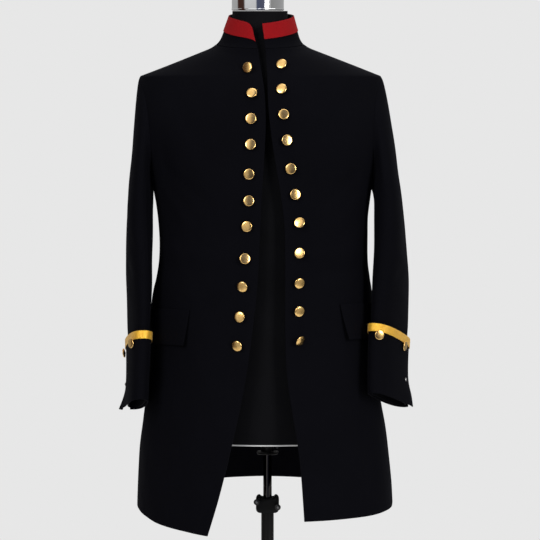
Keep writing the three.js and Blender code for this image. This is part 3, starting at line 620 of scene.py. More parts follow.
def bandRuns(mesh):
    # the upper and lower edges of a band's outer face, each as a run of points
    patch = wallPatches(mesh)
    outerEdges = []
    for edge in mesh.edges:
        if {patch[face.index] for face in edge.link_faces} == {0, 2}:
            outerEdges.append(edge)
    edgesAt = {}
    for edge in outerEdges:
        for point in edge.verts:
            edgesAt.setdefault(point.index, []).append(edge)
    start = outerEdges[0].verts[0]
    loop, point, edge = [start], outerEdges[0].verts[1], outerEdges[0]
    while point != start:
        loop.append(point)
        edge = next(other for other in edgesAt[point.index] if other != edge)
        point = edge.other_vert(point)
    places = [point.co.copy() for point in loop]
    count = len(places)
    # the band's corners are where the loop turns most
    turns = []
    for i in range(count):
        before = (places[i] - places[i - 1]).normalized()
        after = (places[(i + 1) % count] - places[i]).normalized()
        turns.append(before.angle(after))
    corners = sorted(sorted(range(count), key=lambda i: -turns[i])[:4])
    sides = []
    for k in range(4):
        i, j = corners[k], corners[(k + 1) % 4]
        run = [places[m % count] for m in range(i, j + count * (j <= i) + 1)]
        sides.append((runLengths(run)[-1], run))
    sides.sort(key=lambda side: -side[0])
    longest = [run for _, run in sides[:2]]
    upper, lower = sorted(longest, key=lambda run: -sum(p.z for p in run) / len(run))
    if (upper[0] - lower[0]).length > (upper[0] - lower[-1]).length:
        lower = lower[::-1]
    return upper, lower


def runLengths(run):
    lengths = [0.0]
    for one, two in zip(run, run[1:]):
        lengths.append(lengths[-1] + (two - one).length)
    return lengths


def evenSteps(run, gap):
    # points at even steps along a run, each with the direction of the run there
    lengths = runLengths(run)
    count = max(1, round(lengths[-1] / gap))
    placed = []
    for i in range(count):
        at = (i + 0.5) * lengths[-1] / count
        k = max(j for j in range(len(run) - 1) if lengths[j] <= at)
        share = (at - lengths[k]) / (lengths[k + 1] - lengths[k])
        placed.append((run[k].lerp(run[k + 1], share), (run[k + 1] - run[k]).normalized()))
    return placed


def mm(profile):
    return [(0.001 * r, 0.001 * z) for r, z in profile]


def lathePiece(name, profile, around=64):
    # one corner is pushed out point by point into the profile, and the profile is spun about Z
    pick()
    bpy.ops.mesh.primitive_plane_add(size=0.001, location=(0, 0, 0))
    piece = bpy.context.object
    piece.name = piece.data.name = name
    edit(piece)
    bpy.ops.mesh.merge(type="CENTER")
    first = profile[0]
    bpy.ops.transform.translate(value=(first[0], 0, first[1]))
    last = first
    for radius, height in profile[1:]:
        step = (radius - last[0], 0, height - last[1])
        bpy.ops.mesh.extrude_vertices_move(TRANSFORM_OT_translate={"value": step})
        last = (radius, height)
    bpy.ops.mesh.select_all(action="SELECT")
    bpy.ops.mesh.spin(steps=around, angle=2 * math.pi, center=(0, 0, 0), axis=(0, 0, 1))
    bpy.ops.mesh.select_all(action="SELECT")
    bpy.ops.mesh.remove_doubles(threshold=0.000005)
    bpy.ops.mesh.normals_make_consistent(inside=False)
    finishEdit()
    smoothShade(piece, 30)
    return piece


def standOn(piece, foot, axis):
    # a piece turned about Z is stood on a point, facing along an axis
    turn = Vector((0, 0, 1)).rotation_difference(axis).to_matrix().to_4x4()
    piece.data.transform(Matrix.Translation(foot) @ turn)


def joined(name, parts):
    pick()
    for part in parts:
        part.select_set(True)
    bpy.context.view_layer.objects.active = parts[0]
    bpy.ops.object.join()
    parts[0].name = parts[0].data.name = name
    return parts[0]


# Soft folds of the cloth. Each runs from one point to another, with its width and its height in mm,
# minus for a valley.
coatFolds = {
    "front": [
        ((-0.190, -0.080, 1.190), (-0.095, -0.128, 1.105), 11, -1.9),
        ((-0.198, -0.060, 1.158), (-0.120, -0.122, 1.052), 13, 1.6),
        ((-0.186, -0.078, 1.330), (-0.110, -0.112, 1.215), 18, -1.4),
        ((-0.196, -0.055, 1.045), (-0.075, -0.122, 1.018), 10, 1.6),
        ((-0.200, -0.045, 1.015), (-0.090, -0.120, 0.992), 9, -1.7),
        ((-0.205, -0.040, 0.985), (-0.120, -0.115, 0.955), 12, 1.3),
        ((-0.120, -0.120, 0.900), (-0.135, -0.140, 0.620), 22, 2.0),
        ((-0.185, -0.095, 0.860), (-0.200, -0.105, 0.600), 18, -2.2),
        ((0.176, -0.080, 1.185), (0.085, -0.128, 1.100), 11, -1.8),
        ((0.182, -0.060, 1.150), (0.105, -0.120, 1.048), 13, 1.5),
        ((0.165, -0.078, 1.330), (0.092, -0.112, 1.225), 18, -1.3),
        ((0.184, -0.052, 1.040), (0.070, -0.122, 1.022), 10, 1.5),
        ((0.188, -0.045, 1.008), (0.090, -0.118, 0.990), 9, -1.6),
        ((0.110, -0.122, 0.890), (0.125, -0.140, 0.610), 20, 1.8),
        ((0.172, -0.092, 0.850), (0.188, -0.100, 0.600), 18, -2.0),
    ],
    "back": [
        ((-0.150, 0.100, 1.050), (-0.020, 0.110, 1.032), 11, 1.7),
        ((-0.165, 0.090, 1.022), (-0.030, 0.108, 1.005), 10, -1.8),
        ((-0.150, 0.092, 0.992), (-0.050, 0.112, 0.978), 12, 1.3),
        ((0.140, 0.100, 1.046), (0.020, 0.110, 1.034), 11, 1.6),
        ((0.152, 0.090, 1.018), (0.030, 0.108, 1.004), 10, -1.7),
        ((-0.185, 0.085, 1.300), (-0.110, 0.118, 1.180), 16, -1.6),
        ((0.165, 0.085, 1.300), (0.095, 0.118, 1.185), 16, -1.5),
        ((-0.190, 0.080, 1.180), (-0.120, 0.112, 1.100), 12, 1.5),
        ((0.172, 0.080, 1.180), (0.105, 0.112, 1.100), 12, 1.4),
        ((-0.120, 0.125, 0.880), (-0.140, 0.150, 0.600), 22, 2.0),
        ((0.115, 0.125, 0.880), (0.130, 0.150, 0.600), 22, 2.0),
    ],
    # the coat's sides swell out behind the lower sleeves
    "sides": [
        ((-0.2150, 0.016, 0.962), (-0.2205, 0.018, 0.815), 20, 6.4),
        ((0.1935, 0.014, 0.985), (0.1970, 0.016, 0.885), 20, 5.6),
    ],
}
sleeveFolds = {
    "right": [
        ((-0.262, -0.060, 1.062), (-0.236, -0.088, 1.030), 9, -2.0),
        ((-0.250, -0.080, 1.040), (-0.268, -0.010, 1.012), 8, 1.6),
        ((-0.262, -0.020, 1.010), (-0.240, -0.092, 0.985), 9, -2.2),
        ((-0.258, -0.075, 0.968), (-0.262, -0.010, 0.952), 8, 1.5),
        ((-0.250, -0.095, 0.940), (-0.262, -0.030, 0.918), 8, -1.5),
        ((-0.258, 0.040, 1.090), (-0.262, 0.060, 0.990), 12, 1.5),
        ((-0.262, -0.020, 1.300), (-0.268, -0.010, 1.180), 16, -1.4),
    ],
    "left": [
        ((0.262, -0.050, 1.060), (0.232, -0.084, 1.026), 9, -2.0),
        ((0.240, -0.080, 1.035), (0.262, -0.010, 1.008), 8, 1.6),
        ((0.256, -0.020, 1.004), (0.226, -0.090, 0.976), 9, -2.2),
        ((0.240, -0.080, 0.962), (0.254, -0.010, 0.948), 8, 1.5),
        ((0.226, -0.096, 0.936), (0.246, -0.030, 0.912), 8, -1.5),
        ((0.250, 0.040, 1.085), (0.254, 0.058, 0.985), 12, 1.4),
        ((0.244, -0.020, 1.300), (0.254, -0.010, 1.180), 16, -1.4),
    ],
}


def foldHeight(places, folds):
    total = np.zeros(len(places))
    for start, end, width, height in folds:
        start, end = np.array(start), np.array(end)
        run = end - start
        t = np.clip((places - start) @ run / (run @ run), 0, 1)
        apart = np.linalg.norm(places - start - t[:, None] * run, axis=1)
        taper = np.sin(np.pi * np.clip(0.12 + 0.76 * t, 0, 1)) ** 0.8
        total += 0.001 * height * taper * np.exp(-((apart / (0.001 * width)) ** 2))
    return total


def ripple(places, size):
    # slow unevenness of a heavy cloth, the same for every piece so that seams stay closed
    x, y, z = places.T
    waves = (
        np.sin(61 * x + 23 * z + 1.3)
        + np.sin(-47 * x + 38 * y + 51 * z)
        + np.sin(83 * y - 31 * z + 2.1)
        + 0.6 * np.sin(121 * x - 97 * y + 74 * z + 0.4)
    )
    return 0.001 * size * waves / 2


# the coat's trunk as an oval, and its armholes as ovals of their own at its sides
trunk = {"middleX": -0.012, "halfWide": 0.21, "halfDeep": 0.125}
armhole = {"top": 1.357, "bottom": 1.150, "halfDeep": 0.075, "from": 0.15, "fade": 0.03, "edge": 0.35}


def bodyOutward(places):
    x, y, z = places.T
    outX = (x - trunk["middleX"]) / trunk["halfWide"] ** 2
    out = np.stack([outX, y / trunk["halfDeep"] ** 2, np.zeros(len(x))], axis=1)
    out /= np.linalg.norm(out, axis=1)[:, None] + 1e-9
    return out


def nearArmhole(places):
    # 1 on the armhole's seam and 0 well away from it
    x, y, z = places.T
    middle = (armhole["top"] + armhole["bottom"]) / 2
    half = (armhole["top"] - armhole["bottom"]) / 2
    beyond = np.clip((np.abs(x - trunk["middleX"]) - armhole["from"]) / armhole["fade"], 0, 1)
    along = (z - middle) / half
    reach = np.sqrt(np.clip(1 - along**2, 0, 1))
    edge = np.abs(np.abs(y) / armhole["halfDeep"] - reach)
    return beyond * np.exp(-((edge / armhole["edge"]) ** 2)) * (np.abs(along) < 1.15)


# the cloth lies calm above its top, by its fade, and is calmer near the armholes; ripple in mm
drapeLook = {"top": 1.372, "fade": 0.05, "armholeCalm": 0.85, "ripple": 0.55}


def coatDrape(places):
    z = places[:, 2]
    folds = sum(foldHeight(places, folds) for folds in coatFolds.values())
    calm = np.clip((drapeLook["top"] - z) / drapeLook["fade"], 0, 1)
    calm = calm * (1 - drapeLook["armholeCalm"] * nearArmhole(places))
    height = (folds + ripple(places, drapeLook["ripple"])) * calm
    return sweepNeck(places + bodyOutward(places) * height[:, None])


def neckSeam():
    # the line where the collar is sewn to the coat
    piece = nodeCopy("collar", "neckSeam")
    mesh = bmesh.new()
    mesh.from_mesh(piece.data)
    lower = bandRuns(mesh)[1]
    mesh.free()
    bpy.data.objects.remove(piece)
    line = []
    for one, two in zip(lower, lower[1:]):
        line += [one.lerp(two, k / 12) for k in range(12)]
    return line + [lower[-1]]


neckSweep = {
    "reach": 0.017,
    "lift": 0.0036,
    "centre": (-0.0115, -0.004),
    "above": 1.37,
    "outward": 0.62,
    "upward": 0.78,
}
neckLine = neckSeam()
neckTree = KDTree(len(neckLine))
for number, place in enumerate(neckLine):
    neckTree.insert(place, number)
neckTree.balance()


def sweepNeck(places):
    # the coat sweeps up into the collar instead of meeting it at a corner
    moved = places.copy()
    centreX, centreY = neckSweep["centre"]
    upward = Vector((0, 0, neckSweep["upward"]))
    for k in np.nonzero(places[:, 2] > neckSweep["above"])[0]:
        place = Vector(places[k])
        seam, _, apart = neckTree.find(place)
        if apart < neckSweep["reach"]:
            out = Vector((seam.x - centreX, seam.y - centreY, 0)).normalized()
            way = (out * neckSweep["outward"] + upward).normalized()
            moved[k] = place + way * neckSweep["lift"] * (1 - apart / neckSweep["reach"]) ** 2
    return moved


# the middle line of each sleeve, from the shoulder down: height, x and y
sleeveLines = {
    "right": [
        (1.357, -0.205, 0.0), (1.12, -0.2395, 0.006), (1.0, -0.2395, -0.006),
        (0.94, -0.2385, -0.015), (0.85, -0.2378, -0.033), (0.757, -0.239, -0.05),
    ],
    "left": [
        (1.357, 0.19, 0.0), (1.12, 0.228, 0.006), (1.0, 0.229, -0.005),
        (0.94, 0.2282, -0.013), (0.85, 0.223, -0.032), (0.757, 0.2208, -0.05),
    ],
}


# folds fade in below the top and out above the cuff; ripple in mm
sleeveLook = {"top": 1.30, "topFade": 0.10, "cuff": 0.872, "cuffFade": 0.02, "flat": 0.35, "ripple": 0.5}


def sleeveDrape(word):
    look = sleeveLook
    line = sorted(sleeveLines[word])
    heights = [row[0] for row in line]

    def drape(places):
        x, y, z = places.T
        axisX = np.interp(z, heights, [row[1] for row in line])
        axisY = np.interp(z, heights, [row[2] for row in line])
        out = np.stack([x - axisX, (y - axisY) * look["flat"], np.zeros(len(x))], axis=1)
        out /= np.linalg.norm(out, axis=1)[:, None] + 1e-9
        calm = np.clip((look["top"] - z) / look["topFade"], 0, 1)
        calm = calm * np.clip((z - look["cuff"]) / look["cuffFade"], 0, 1)
        height = (foldHeight(places, sleeveFolds[word]) + ripple(places, look["ripple"])) * calm
        return places + out * height[:, None]

    return drape


# The walls are subdivided, their edges rounded and their rims moved out a little, in metres, so that
# neighbours meet along their seams.
panelShape = {"levels": 3, "edgeRound": 0.0006, "reach": 0.00022}
# flat cut of each panel in metres: width, length and real area
panelCuts = {
    "front_right": ((0.26, 0.90), 0.174),
    "front_left": ((0.25, 0.90), 0.156),
    "side_body_right": ((0.17, 0.64), 0.082),
    "side_body_left": ((0.17, 0.64), 0.082),
    "back_right": ((0.24, 0.93), 0.185),
    "back_left": ((0.24, 0.93), 0.185),
}

for nodeName, (flat, area) in panelCuts.items():
    piece = clothPiece(nodeName, nodeName + "_wool", fold=coatDrape, **panelShape)
    settle(piece, "dressed_form", "wool", "wool", nodeName)
print("coat panels made")

sleeveShape = {"levels": 3, "edgeRound": 0.0006, "reach": 0.0007}
sleeveCuts = {
    "sleeve_top_right": ((0.25, 0.60), 0.107),
    "sleeve_top_left": ((0.25, 0.60), 0.111),
    "sleeve_under_right": ((0.17, 0.46), 0.060),
    "sleeve_under_left": ((0.17, 0.46), 0.060),
}
for nodeName, (flat, area) in sleeveCuts.items():
    word = nodeName.split("_")[-1]
    piece = clothPiece(nodeName, nodeName + "_wool", fold=sleeveDrape(word), **sleeveShape)
    settle(piece, "dressed_form", "wool", "wool", nodeName)
print("sleeves made")

cuffShape = {"levels": 2, "edgeRound": 0.0008}
flapShape = {"levels": 3, "edgeRound": 0.0006}

for word in ("right", "left"):
    cuff = clothPiece("cuff_" + word, "cuff_" + word + "_wool", **cuffShape)
    settle(cuff, "dressed_form", "wool", "wool", "cuff_" + word)
    flap = clothPiece("pocket_flap_" + word, "pocket_flap_" + word + "_wool", **flapShape)
    settle(flap, "dressed_form", "wool", "wool", "pocket_flap_" + word)
print("cuffs and flaps made")


def bandWithWeave(nodeName, pieceName, levels, edgeRound):
    # how far along and how far across the band each point lies is stored on it
    piece = nodeCopy(nodeName, pieceName)
    mesh = bmesh.new()
    mesh.from_mesh(piece.data)
    upper, lower = bandRuns(mesh)
    lengths = runLengths(upper)
    alongLayer = mesh.verts.layers.float.new("along")
    acrossLayer = mesh.verts.layers.float.new("across")
    depth = sum((a - b).length for a, b in zip(upper, lower)) / len(upper)
    for point in mesh.verts:
        gaps = [((point.co - a).length, (point.co - b).length) for a, b in zip(upper, lower)]
        nearest = min(range(len(gaps)), key=lambda k: min(gaps[k]))
        toUpper, toLower = gaps[nearest]
        point[alongLayer] = lengths[nearest]
        point[acrossLayer] = 0.0 if toUpper < toLower else depth
    mesh.to_mesh(piece.data)
    mesh.free()
    creaseRim(piece)
    subdivided(piece, levels)
    roundedEdges(piece, edgeRound)
    return piece


braidShape = {"levels": 2, "edgeRound": 0.0003}

for word in ("right", "left"):
    braid = bandWithWeave("cuff_braid_" + word, "cuff_braid_" + word + "_gold", **braidShape)
    settle(braid, "dressed_form", "braid", "braid", "cuff_braid_" + word)
print("braid made")

collarShape = {"levels": 3, "edgeRound": 0.0009}
collar = clothPiece("collar", "collar_wool", fold=sweepNeck, **collarShape)
settle(collar, "dressed_form", "wool", "wool", "collar")

bandShape = {"levels": 3, "edgeRound": 0.0004}
stitchRow = {
    "inset": 0.0021,
    "stop": 0.0008,  # how far the end rows stop short of the lower edge
    "gap": 0.0034,
    "length": 0.0024,
    "width": 0.00062,
    "height": 0.0005,
    "sunk": 0.00012,
}


def redBand():
    # the band, and the runs of its upper edge and of its two ends, moved in to where it is stitched
    piece = nodeCopy("collar_band", "collar_band_red")
    creaseRim(piece)
    subdivided(piece, bandShape["levels"])
    mesh = bmesh.new()
    mesh.from_mesh(piece.data)
    upper, lower = bandRuns(mesh)
    mesh.free()
    roundedEdges(piece, bandShape["edgeRound"])
    lowerTree = KDTree(len(lower))
    for number, place in enumerate(lower):
        lowerTree.insert(place, number)
    lowerTree.balance()
    inset = stitchRow["inset"]
    row = [place + (lowerTree.find(place)[0] - place).normalized() * inset for place in upper]
    lengths = runLengths(row)
    row = [place for place, at in zip(row, lengths) if inset < at < lengths[-1] - inset]
    downs = []
    for top, bottom in ((row[0], lower[0]), (row[-1], lower[-1])):
        bottom = bottom + (top - bottom).normalized() * stitchRow["stop"]
        downs.append([top.lerp(bottom, k / 8) for k in range(9)])
    return piece, [row, *downs]


def stitchMaster():
    pick()
    bpy.ops.mesh.primitive_uv_sphere_add(segments=10, ring_count=6, radius=0.5, location=(0, 0, 0))
    piece = bpy.context.object
    edit(piece)
    size = (stitchRow["length"], stitchRow["width"], stitchRow["height"])
    bpy.ops.transform.resize(value=size, center_override=(0, 0, 0))
    finishEdit()
    smoothShade(piece, 60)
    return piece


def stitches(name, cloth, runs):
    # one stitch, copied along the runs and laid on the cloth
    points = [point.co for point in cloth.data.vertices]
    faces = [tuple(face.vertices) for face in cloth.data.polygons]
    surface = BVHTree.FromPolygons(points, faces)
    master = stitchMaster()
    parts = []
    for run in runs:
        for place, way in evenSteps(run, stitchRow["gap"]):
            spot, normal, _, _ = surface.find_nearest(place)
            outward = spot - Vector((*neckSweep["centre"], spot.z))
            away = normal if normal.dot(outward) > 0 else -normal
            along = (way - away * way.dot(away)).normalized()
            frameOf = Matrix((along, away.cross(along), away)).transposed().to_4x4()
            part = master.copy()
            part.data = master.data.copy()
            scene.collection.objects.link(part)
            part.data.transform(Matrix.Translation(spot - away * stitchRow["sunk"]) @ frameOf)
            parts.append(part)
    bpy.data.objects.remove(master)
    return joined(name, parts)


band, bandStitchRuns = redBand()
settle(band, "dressed_form", "red", "red_cloth", "collar_band")
bandStitches = stitches("collar_band_stitches", band, bandStitchRuns)
settle(bandStitches, "dressed_form", "redThread", "red_cloth")
print("collar made")

buttonShape = {
    # from the middle of the back, round the rim, to the middle of the face: radius and height in mm
    "profile": [
        (0.0, 0.2), (2.2, 0.2), (2.6, 0.9), (6.4, 1.5), (8.6, 2.1), (9.3, 2.6), (9.6, 3.15),
        (9.6, 3.6), (9.45, 4.05), (9.1, 4.42), (8.6, 4.66), (8.0, 4.82), (6.4, 5.04), (4.4, 5.2),
        (2.2, 5.3), (0.0, 5.34),
    ],
    "around": 40,
    "cuffSize": 0.9,
    "ringShare": 0.985,  # points this near the greatest reach are on the widest ring
}


def spreadOf(nodeName):
    # the middle of a small round CAD piece and its axis, with each point's height and reach from it
    places = np.array([vertex.co for vertex in nodes[nodeName].data.vertices])
    places = np.unique(np.round(places, 6), axis=0)
    middle = places.mean(axis=0)
    _, _, directions = np.linalg.svd(places - middle)
    axis = directions[2]
    heights = (places - middle) @ axis
    reaches = np.linalg.norm(places - middle - heights[:, None] * axis, axis=1)
    return middle, axis, heights, reaches


def buttonSeat(nodeName):
    # the widest ring lies a little farther from the back of the button than from its face
    middle, axis, heights, reaches = spreadOf(nodeName)
    low, high = heights.min(), heights.max()
    ringHeight = heights[reaches > buttonShape["ringShare"] * reaches.max()].mean()
    if ringHeight - low < high - ringHeight:
        axis, low = -axis, -high
    return Vector(middle + axis * low), Vector(axis)


master = lathePiece("buttonMaster", mm(buttonShape["profile"]), around=buttonShape["around"])
buttonNames = [f"button_{word}_{i:02d}" for word in ("right", "left") for i in range(1, 12)]
buttonNames += [f"button_cuff_{word}_{i}" for word in ("right", "left") for i in (1, 2)]
for nodeName in buttonNames:
    button = master.copy()
    button.data = master.data.copy()
    button.name = button.data.name = nodeName + "_gilt"
    scene.collection.objects.link(button)
    if "cuff" in nodeName:
        button.data.transform(Matrix.Scale(buttonShape["cuffSize"], 4))
    standOn(button, *buttonSeat(nodeName))
    settle(button, "dressed_form", "gilt", "gilt", nodeName)
bpy.data.objects.remove(master)
print("buttons made")

snapShape = {
    "profile": [
        (0, 0.05), (3.2, 0.05), (3.25, 0.5), (3.0, 0.85), (2.3, 0.9), (1.7, 1.1), (1.5, 1.5),
        (0.9, 1.65), (0, 1.65),
    ],
    "around": 28,
    "ringShare": 0.9,  # as for the buttons
}

for word in ("right", "left"):
    middle, axis, heights, reaches = spreadOf("cuff_snap_" + word)
    # the snap is widest at its back
    if heights[reaches > snapShape["ringShare"] * reaches.max()].mean() > 0:
        axis, heights = -axis, -heights
    pieceName = "cuff_snap_" + word + "_metal"
    snap = lathePiece(pieceName, mm(snapShape["profile"]), around=snapShape["around"])
    standOn(snap, Vector(middle + axis * heights.min()), Vector(axis))
    settle(snap, "dressed_form", "steel", "steel", "cuff_snap_" + word)
print("snaps made")

torsoShape = {"levels": 3}
torso = nodeCopy("form_torso", "form_torso_jersey")
creaseSharp(torso)
subdivided(torso, torsoShape["levels"])
smoothShade(torso, 50)
settle(torso, "dressed_form", "jersey", "jersey", "form_torso")

rimShape = {"levels": 2, "edgeRound": 0.0009}
rim = nodeCopy("form_rim", "form_rim_trim")
creaseSharp(rim)
subdivided(rim, rimShape["levels"])
roundedEdges(rim, rimShape["edgeRound"], segments=3)
settle(rim, "dressed_form", "rim", "rim", "form_rim")

neckCap = {
    "centre": (-0.018, -0.004, 1.484),
    "slope": 0.22,
    "profile": [
        (0, 0.2), (47.5, 0.2), (48.6, 1.0), (49, 2.2), (49, 3.4), (48.5, 4.0), (48.5, 41.0),
        (48.1, 43.8), (46.9, 46.2), (44.6, 47.9), (39, 49.1), (20, 50.2), (0, 50.5),
    ],
}
cap = lathePiece("form_neck_cap_chrome", mm(neckCap["profile"]), around=96)
lean = Matrix.Rotation(math.atan(neckCap["slope"]), 4, "X")
cap.data.transform(Matrix.Translation(neckCap["centre"]) @ lean)
settle(cap, "dressed_form", "chrome", "chrome", "form_neck_cap")
print("form made")

# profiles of the stand's turned pieces: radius and height in mm
standShapes = {
    "flange": [
        (0, 684.8), (19.5, 684.8), (19.9, 684.3), (17.5, 682.8), (14.2, 680.8), (12.6, 678.6),
        (12, 676), (12, 662.2), (12.6, 661.3), (19.8, 661.0), (20.5, 660.3), (20.5, 657.7),
        (19.8, 657.0), (9.0, 657.0), (8.25, 657.7), (8.25, 680.0), (0, 680.0),
    ],
    "innerPole": [
        (0, 120.2), (7.2, 120.2), (8, 121.2), (8, 596.6), (7.7, 596.9), (7.7, 598.1), (8, 598.4),
        (8, 678.6), (7.4, 679.5), (0, 679.5),
    ],
    "outerPole": [
        (9.0, 17.4), (11.7, 17.4), (11.7, 565.2), (11.3, 565.8), (9.4, 565.8), (9.0, 565.2),
        (9.0, 17.4),
    ],
    "clamp": [
        (12.3, 547.3), (13.2, 547.1), (15.6, 548.0), (17.8, 550.0), (19.1, 552.6), (19.5, 555.4),
        (19.5, 560.0), (19.5, 566.0), (19.5, 572.4), (19.2, 574.4), (18.4, 576.4), (17.2, 578.0),
        (15.8, 578.8), (14.2, 578.9), (12.2, 578.9), (10.4, 578.9), (9.2, 578.6), (8.35, 577.8),
        (8.35, 566.5), (12.3, 566.5), (12.3, 547.3),
    ],
    "base": [
        (0, 0.1), (176, 0.1), (179.2, 0.7), (180, 2.2), (180, 5.6), (179.4, 7.2), (177.6, 8.4),
        (174, 9.2), (120, 10.4), (60, 12.0), (34, 14.2), (24, 16.4), (19, 19.6), (16.4, 24),
        (15.2, 27), (15, 30), (15, 43.4), (14.4, 44.6), (13.2, 44.9), (12.3, 44.2), (12.3, 17.1),
        (0, 17.1),
    ],
}

flange = lathePiece("form_flange_black", mm(standShapes["flange"]), around=56)
settle(flange, "dressed_form", "enamel", "black_metal", "form_flange")
# a chrome pole whose colour is darkened, a painted shade of the dark coat that it reflects
innerPole = lathePiece("pole_inner_chrome_painted_shade", mm(standShapes["innerPole"]), around=56)
settle(innerPole, "pole", "chromePaintedShade", "dark_chrome", "pole_inner")
outerPole = lathePiece("pole_outer_black", mm(standShapes["outerPole"]), around=56)
settle(outerPole, "stand", "enamel", "black_metal", "pole_outer")
base = lathePiece("base_black", mm(standShapes["base"]), around=128)
settle(base, "stand", "enamel", "black_metal", "base")

clampShape = {
    "radius": 0.0195,
    "halfAcross": 0.0216,
    "halfDeep": 0.0158,
    "square": 6,
    "boreRound": 0.0128,  # it stays round up to here, and is square beyond the fade
    "boreFade": 0.003,
    "saddle": 0.0034,
    "saddleHalf": 0.0150,
    "saddleSide": 0.0035,
    "saddleFoot": 0.5705,
    "saddleFade": 0.004,
}


def clampBody(shape):
    # turned round the pole, then drawn out to a rounded oblong with an ear on each side of its top
    piece = lathePiece("clamp_black", mm(standShapes["clamp"]), around=96)
    x, y, z = pointsOf(piece).T
    away = np.hypot(x, y)
    across = np.abs(x / away / shape["halfAcross"])
    deep = np.abs(y / away / shape["halfDeep"])
    power = shape["square"]
    scale = (across**power + deep**power) ** (-1 / power) / shape["radius"]
    share = np.clip((away - shape["boreRound"]) / shape["boreFade"], 0, 1)
    scale = 1 + (scale - 1) * share
    x, y = x * scale, y * scale
    saddle = np.clip((shape["saddleHalf"] - np.abs(x)) / shape["saddleSide"], 0, 1)
    saddle = saddle * saddle * (3 - 2 * saddle)
    drop = np.clip((z - shape["saddleFoot"]) / shape["saddleFade"], 0, 1)
    z = z - shape["saddle"] * saddle * drop
    movePoints(piece, np.stack([x, y, z], axis=1))
    smoothShade(piece, 34)
    return piece


clamp = clampBody(clampShape)
settle(clamp, "stand", "plastic", "black_metal", "clamp")

screwShape = {
    "profile": [
        (0, 0.1), (2.2, 0.1), (2.2, 3.0), (2.8, 3.3), (5.0, 3.4), (5.5, 3.8), (5.55, 5.7),
        (5.2, 6.5), (4.3, 6.95), (2.9, 7.05), (2.6, 6.7), (2.3, 6.6), (2.0, 6.9), (1.1, 7.1),
        (0, 7.15),
    ],
    "knurls": 22,
    "knurlDepth": 0.05,
    "knurlInside": 0.0048,
    "knurlFrom": 0.0035,
    "knurlTo": 0.0064,
    "centre": 0.0025,
    "centreFrom": 0.0065,
}


def thumbscrew(name, nodeName, body, way):
    shape = screwShape
    low, high = (Vector(corner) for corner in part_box(nodeName))
    middle, size = (low + high) / 2, high - low
    foot = middle - way * (abs(size.dot(way)) / 2)
    screw = lathePiece(name, mm(shape["profile"]), around=4 * shape["knurls"])
    x, y, z = pointsOf(screw).T
    radius, angle = np.hypot(x, y), np.arctan2(y, x)
    onKnurls = (radius > shape["knurlInside"]) * (z > shape["knurlFrom"]) * (z < shape["knurlTo"])
    groove = np.cos(shape["knurls"] * angle) < 0
    scale = 1 - shape["knurlDepth"] * onKnurls * groove
    movePoints(screw, np.stack([x * scale, y * scale, z], axis=1))
    # the middle of each knob's end gets the lighter metal colour of the screw end, a painted highlight
    centre = screw.data.attributes.new("centre", "FLOAT", "POINT")
    inCentre = (radius < shape["centre"]) * (z > shape["centreFrom"])
    centre.data.foreach_set("value", inCentre.astype(float))
    standOn(screw, foot, way)
    settle(screw, body, "knob", "black_metal", nodeName)


thumbscrew("clamp_screw_right_knob", "clamp_screw_right", "stand", Vector((0, -1, 0)))
thumbscrew("clamp_screw_left_knob", "clamp_screw_left", "stand", Vector((0, -1, 0)))
thumbscrew("flange_screw_knob", "flange_screw", "dressed_form", Vector((1, 0, 0)))
print("stand made")

floorShape = {"vertices": 96, "radius": 1.5, "location": (0, 0, -0.0005)}


def makeFloorFinish():
    material, shader, wire, place = newFinish("paleFloor", Specular_IOR_Level=0.2)
    dust = noise(wire, place, 6.0, 4.0)
    tone = dust.blendTo((0.74, 0.74, 0.74), (0.80, 0.80, 0.80))
    wire.plug(shader.inputs["Base Color"], tone)
    wire.plug(shader.inputs["Roughness"], dust.spread(0.6, 0.8))
    return material


pick()
bpy.ops.mesh.primitive_circle_add(fill_type="NGON", **floorShape)
floor = bpy.context.object
floor.name = "floor"
floor.data.materials.append(makeFloorFinish())


def areaLight(name, at, aim, size, power, mirrored=True):
    light = bpy.data.lights.new(name, "AREA")
    light.shape = "RECTANGLE"
    light.size, light.size_y = size
    light.energy = power
    holder = bpy.data.objects.new(name, light)
    holder.location = at
    holder.rotation_euler = (Vector(aim) - Vector(at)).to_track_quat("-Z", "Y").to_euler()
    holder.visible_glossy = mirrored
    scene.collection.objects.link(holder)


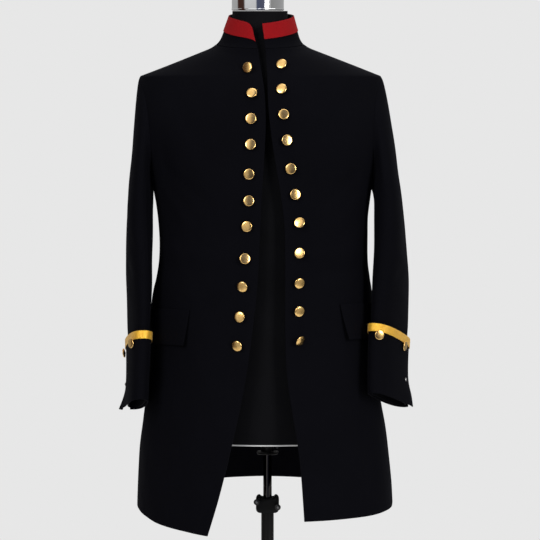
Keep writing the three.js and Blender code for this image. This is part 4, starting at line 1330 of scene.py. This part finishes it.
# each light's place, what it is aimed at, its size in metres and its power in watts
areaLight("keyBox", (-1.7, -2.4, 2.3), (0, 0, 1.1), (1.1, 1.6), 44)
areaLight("fillBox", (1.9, -2.2, 1.6), (0, 0, 1.0), (0.8, 1.6), 54)
areaLight("topBox", (0.3, 0.2, 3.2), (0, 0, 1.0), (1.6, 1.6), 17)
areaLight("backBox", (1.4, 2.2, 2.0), (0, 0, 1.1), (1.0, 1.4), 30, mirrored=False)

# The air is an even pale grey to look at, and a soft studio of bright and dim sides to light by.
airLook = {
    "seen": 0.799,
    # by the turn round the object, from 0 behind it through 0.5 in front and back to 1
    "sides": [
        (0.0, (0.46, 0.46, 0.46)), (0.215, (0.50, 0.50, 0.49)), (0.235, (0.07, 0.03, 0.022)),
        (0.322, (0.08, 0.04, 0.032)), (0.342, (0.95, 0.95, 0.96)), (0.475, (0.97, 0.97, 0.98)),
        (0.492, (0.11, 0.13, 0.22)), (0.585, (0.15, 0.16, 0.24)), (0.602, (0.96, 0.96, 0.96)),
        (0.652, (0.96, 0.96, 0.96)), (0.67, (0.40, 0.40, 0.39)), (1.0, (0.46, 0.46, 0.46)),
    ],
}
air = bpy.data.worlds.new("studioAir")
scene.world = air
air.use_nodes = True
airTree = air.node_tree
airTree.nodes.clear()
airWire = Wire(airTree)
way = airWire.node("TexCoord", out=0)
wayX = airWire.node("SeparateXYZ", {}, {"Vector": way}, out=0)
wayY = airWire.node("SeparateXYZ", {}, {"Vector": way}, out=1)
wayZ = airWire.node("SeparateXYZ", {}, {"Vector": way}, out=2)
turned = airWire.maths("ARCTAN2", wayX, 0.0 - wayY) * (1 / (2 * math.pi)) + 0.5
sideTone = airWire.node("ValToRGB", {"stops": airLook["sides"]}, {"Fac": turned})
upTone = wayZ.spread(0.16, 1.0, -0.5, 0.9)
lit = airWire.node("Background", {}, {"Color": sideTone, "Strength": upTone + 0.25})
seen = airWire.node("Background", {}, {"Color": (airLook["seen"],) * 3 + (1,), "Strength": 1.0})
isSeen = airWire.node("LightPath", out=0)
mixed = airWire.node("MixShader", {}, {0: isSeen, 1: lit, 2: seen})
output = airTree.nodes.new("ShaderNodeOutputWorld")
airTree.links.new(mixed.socket, output.inputs["Surface"])
print("light set")
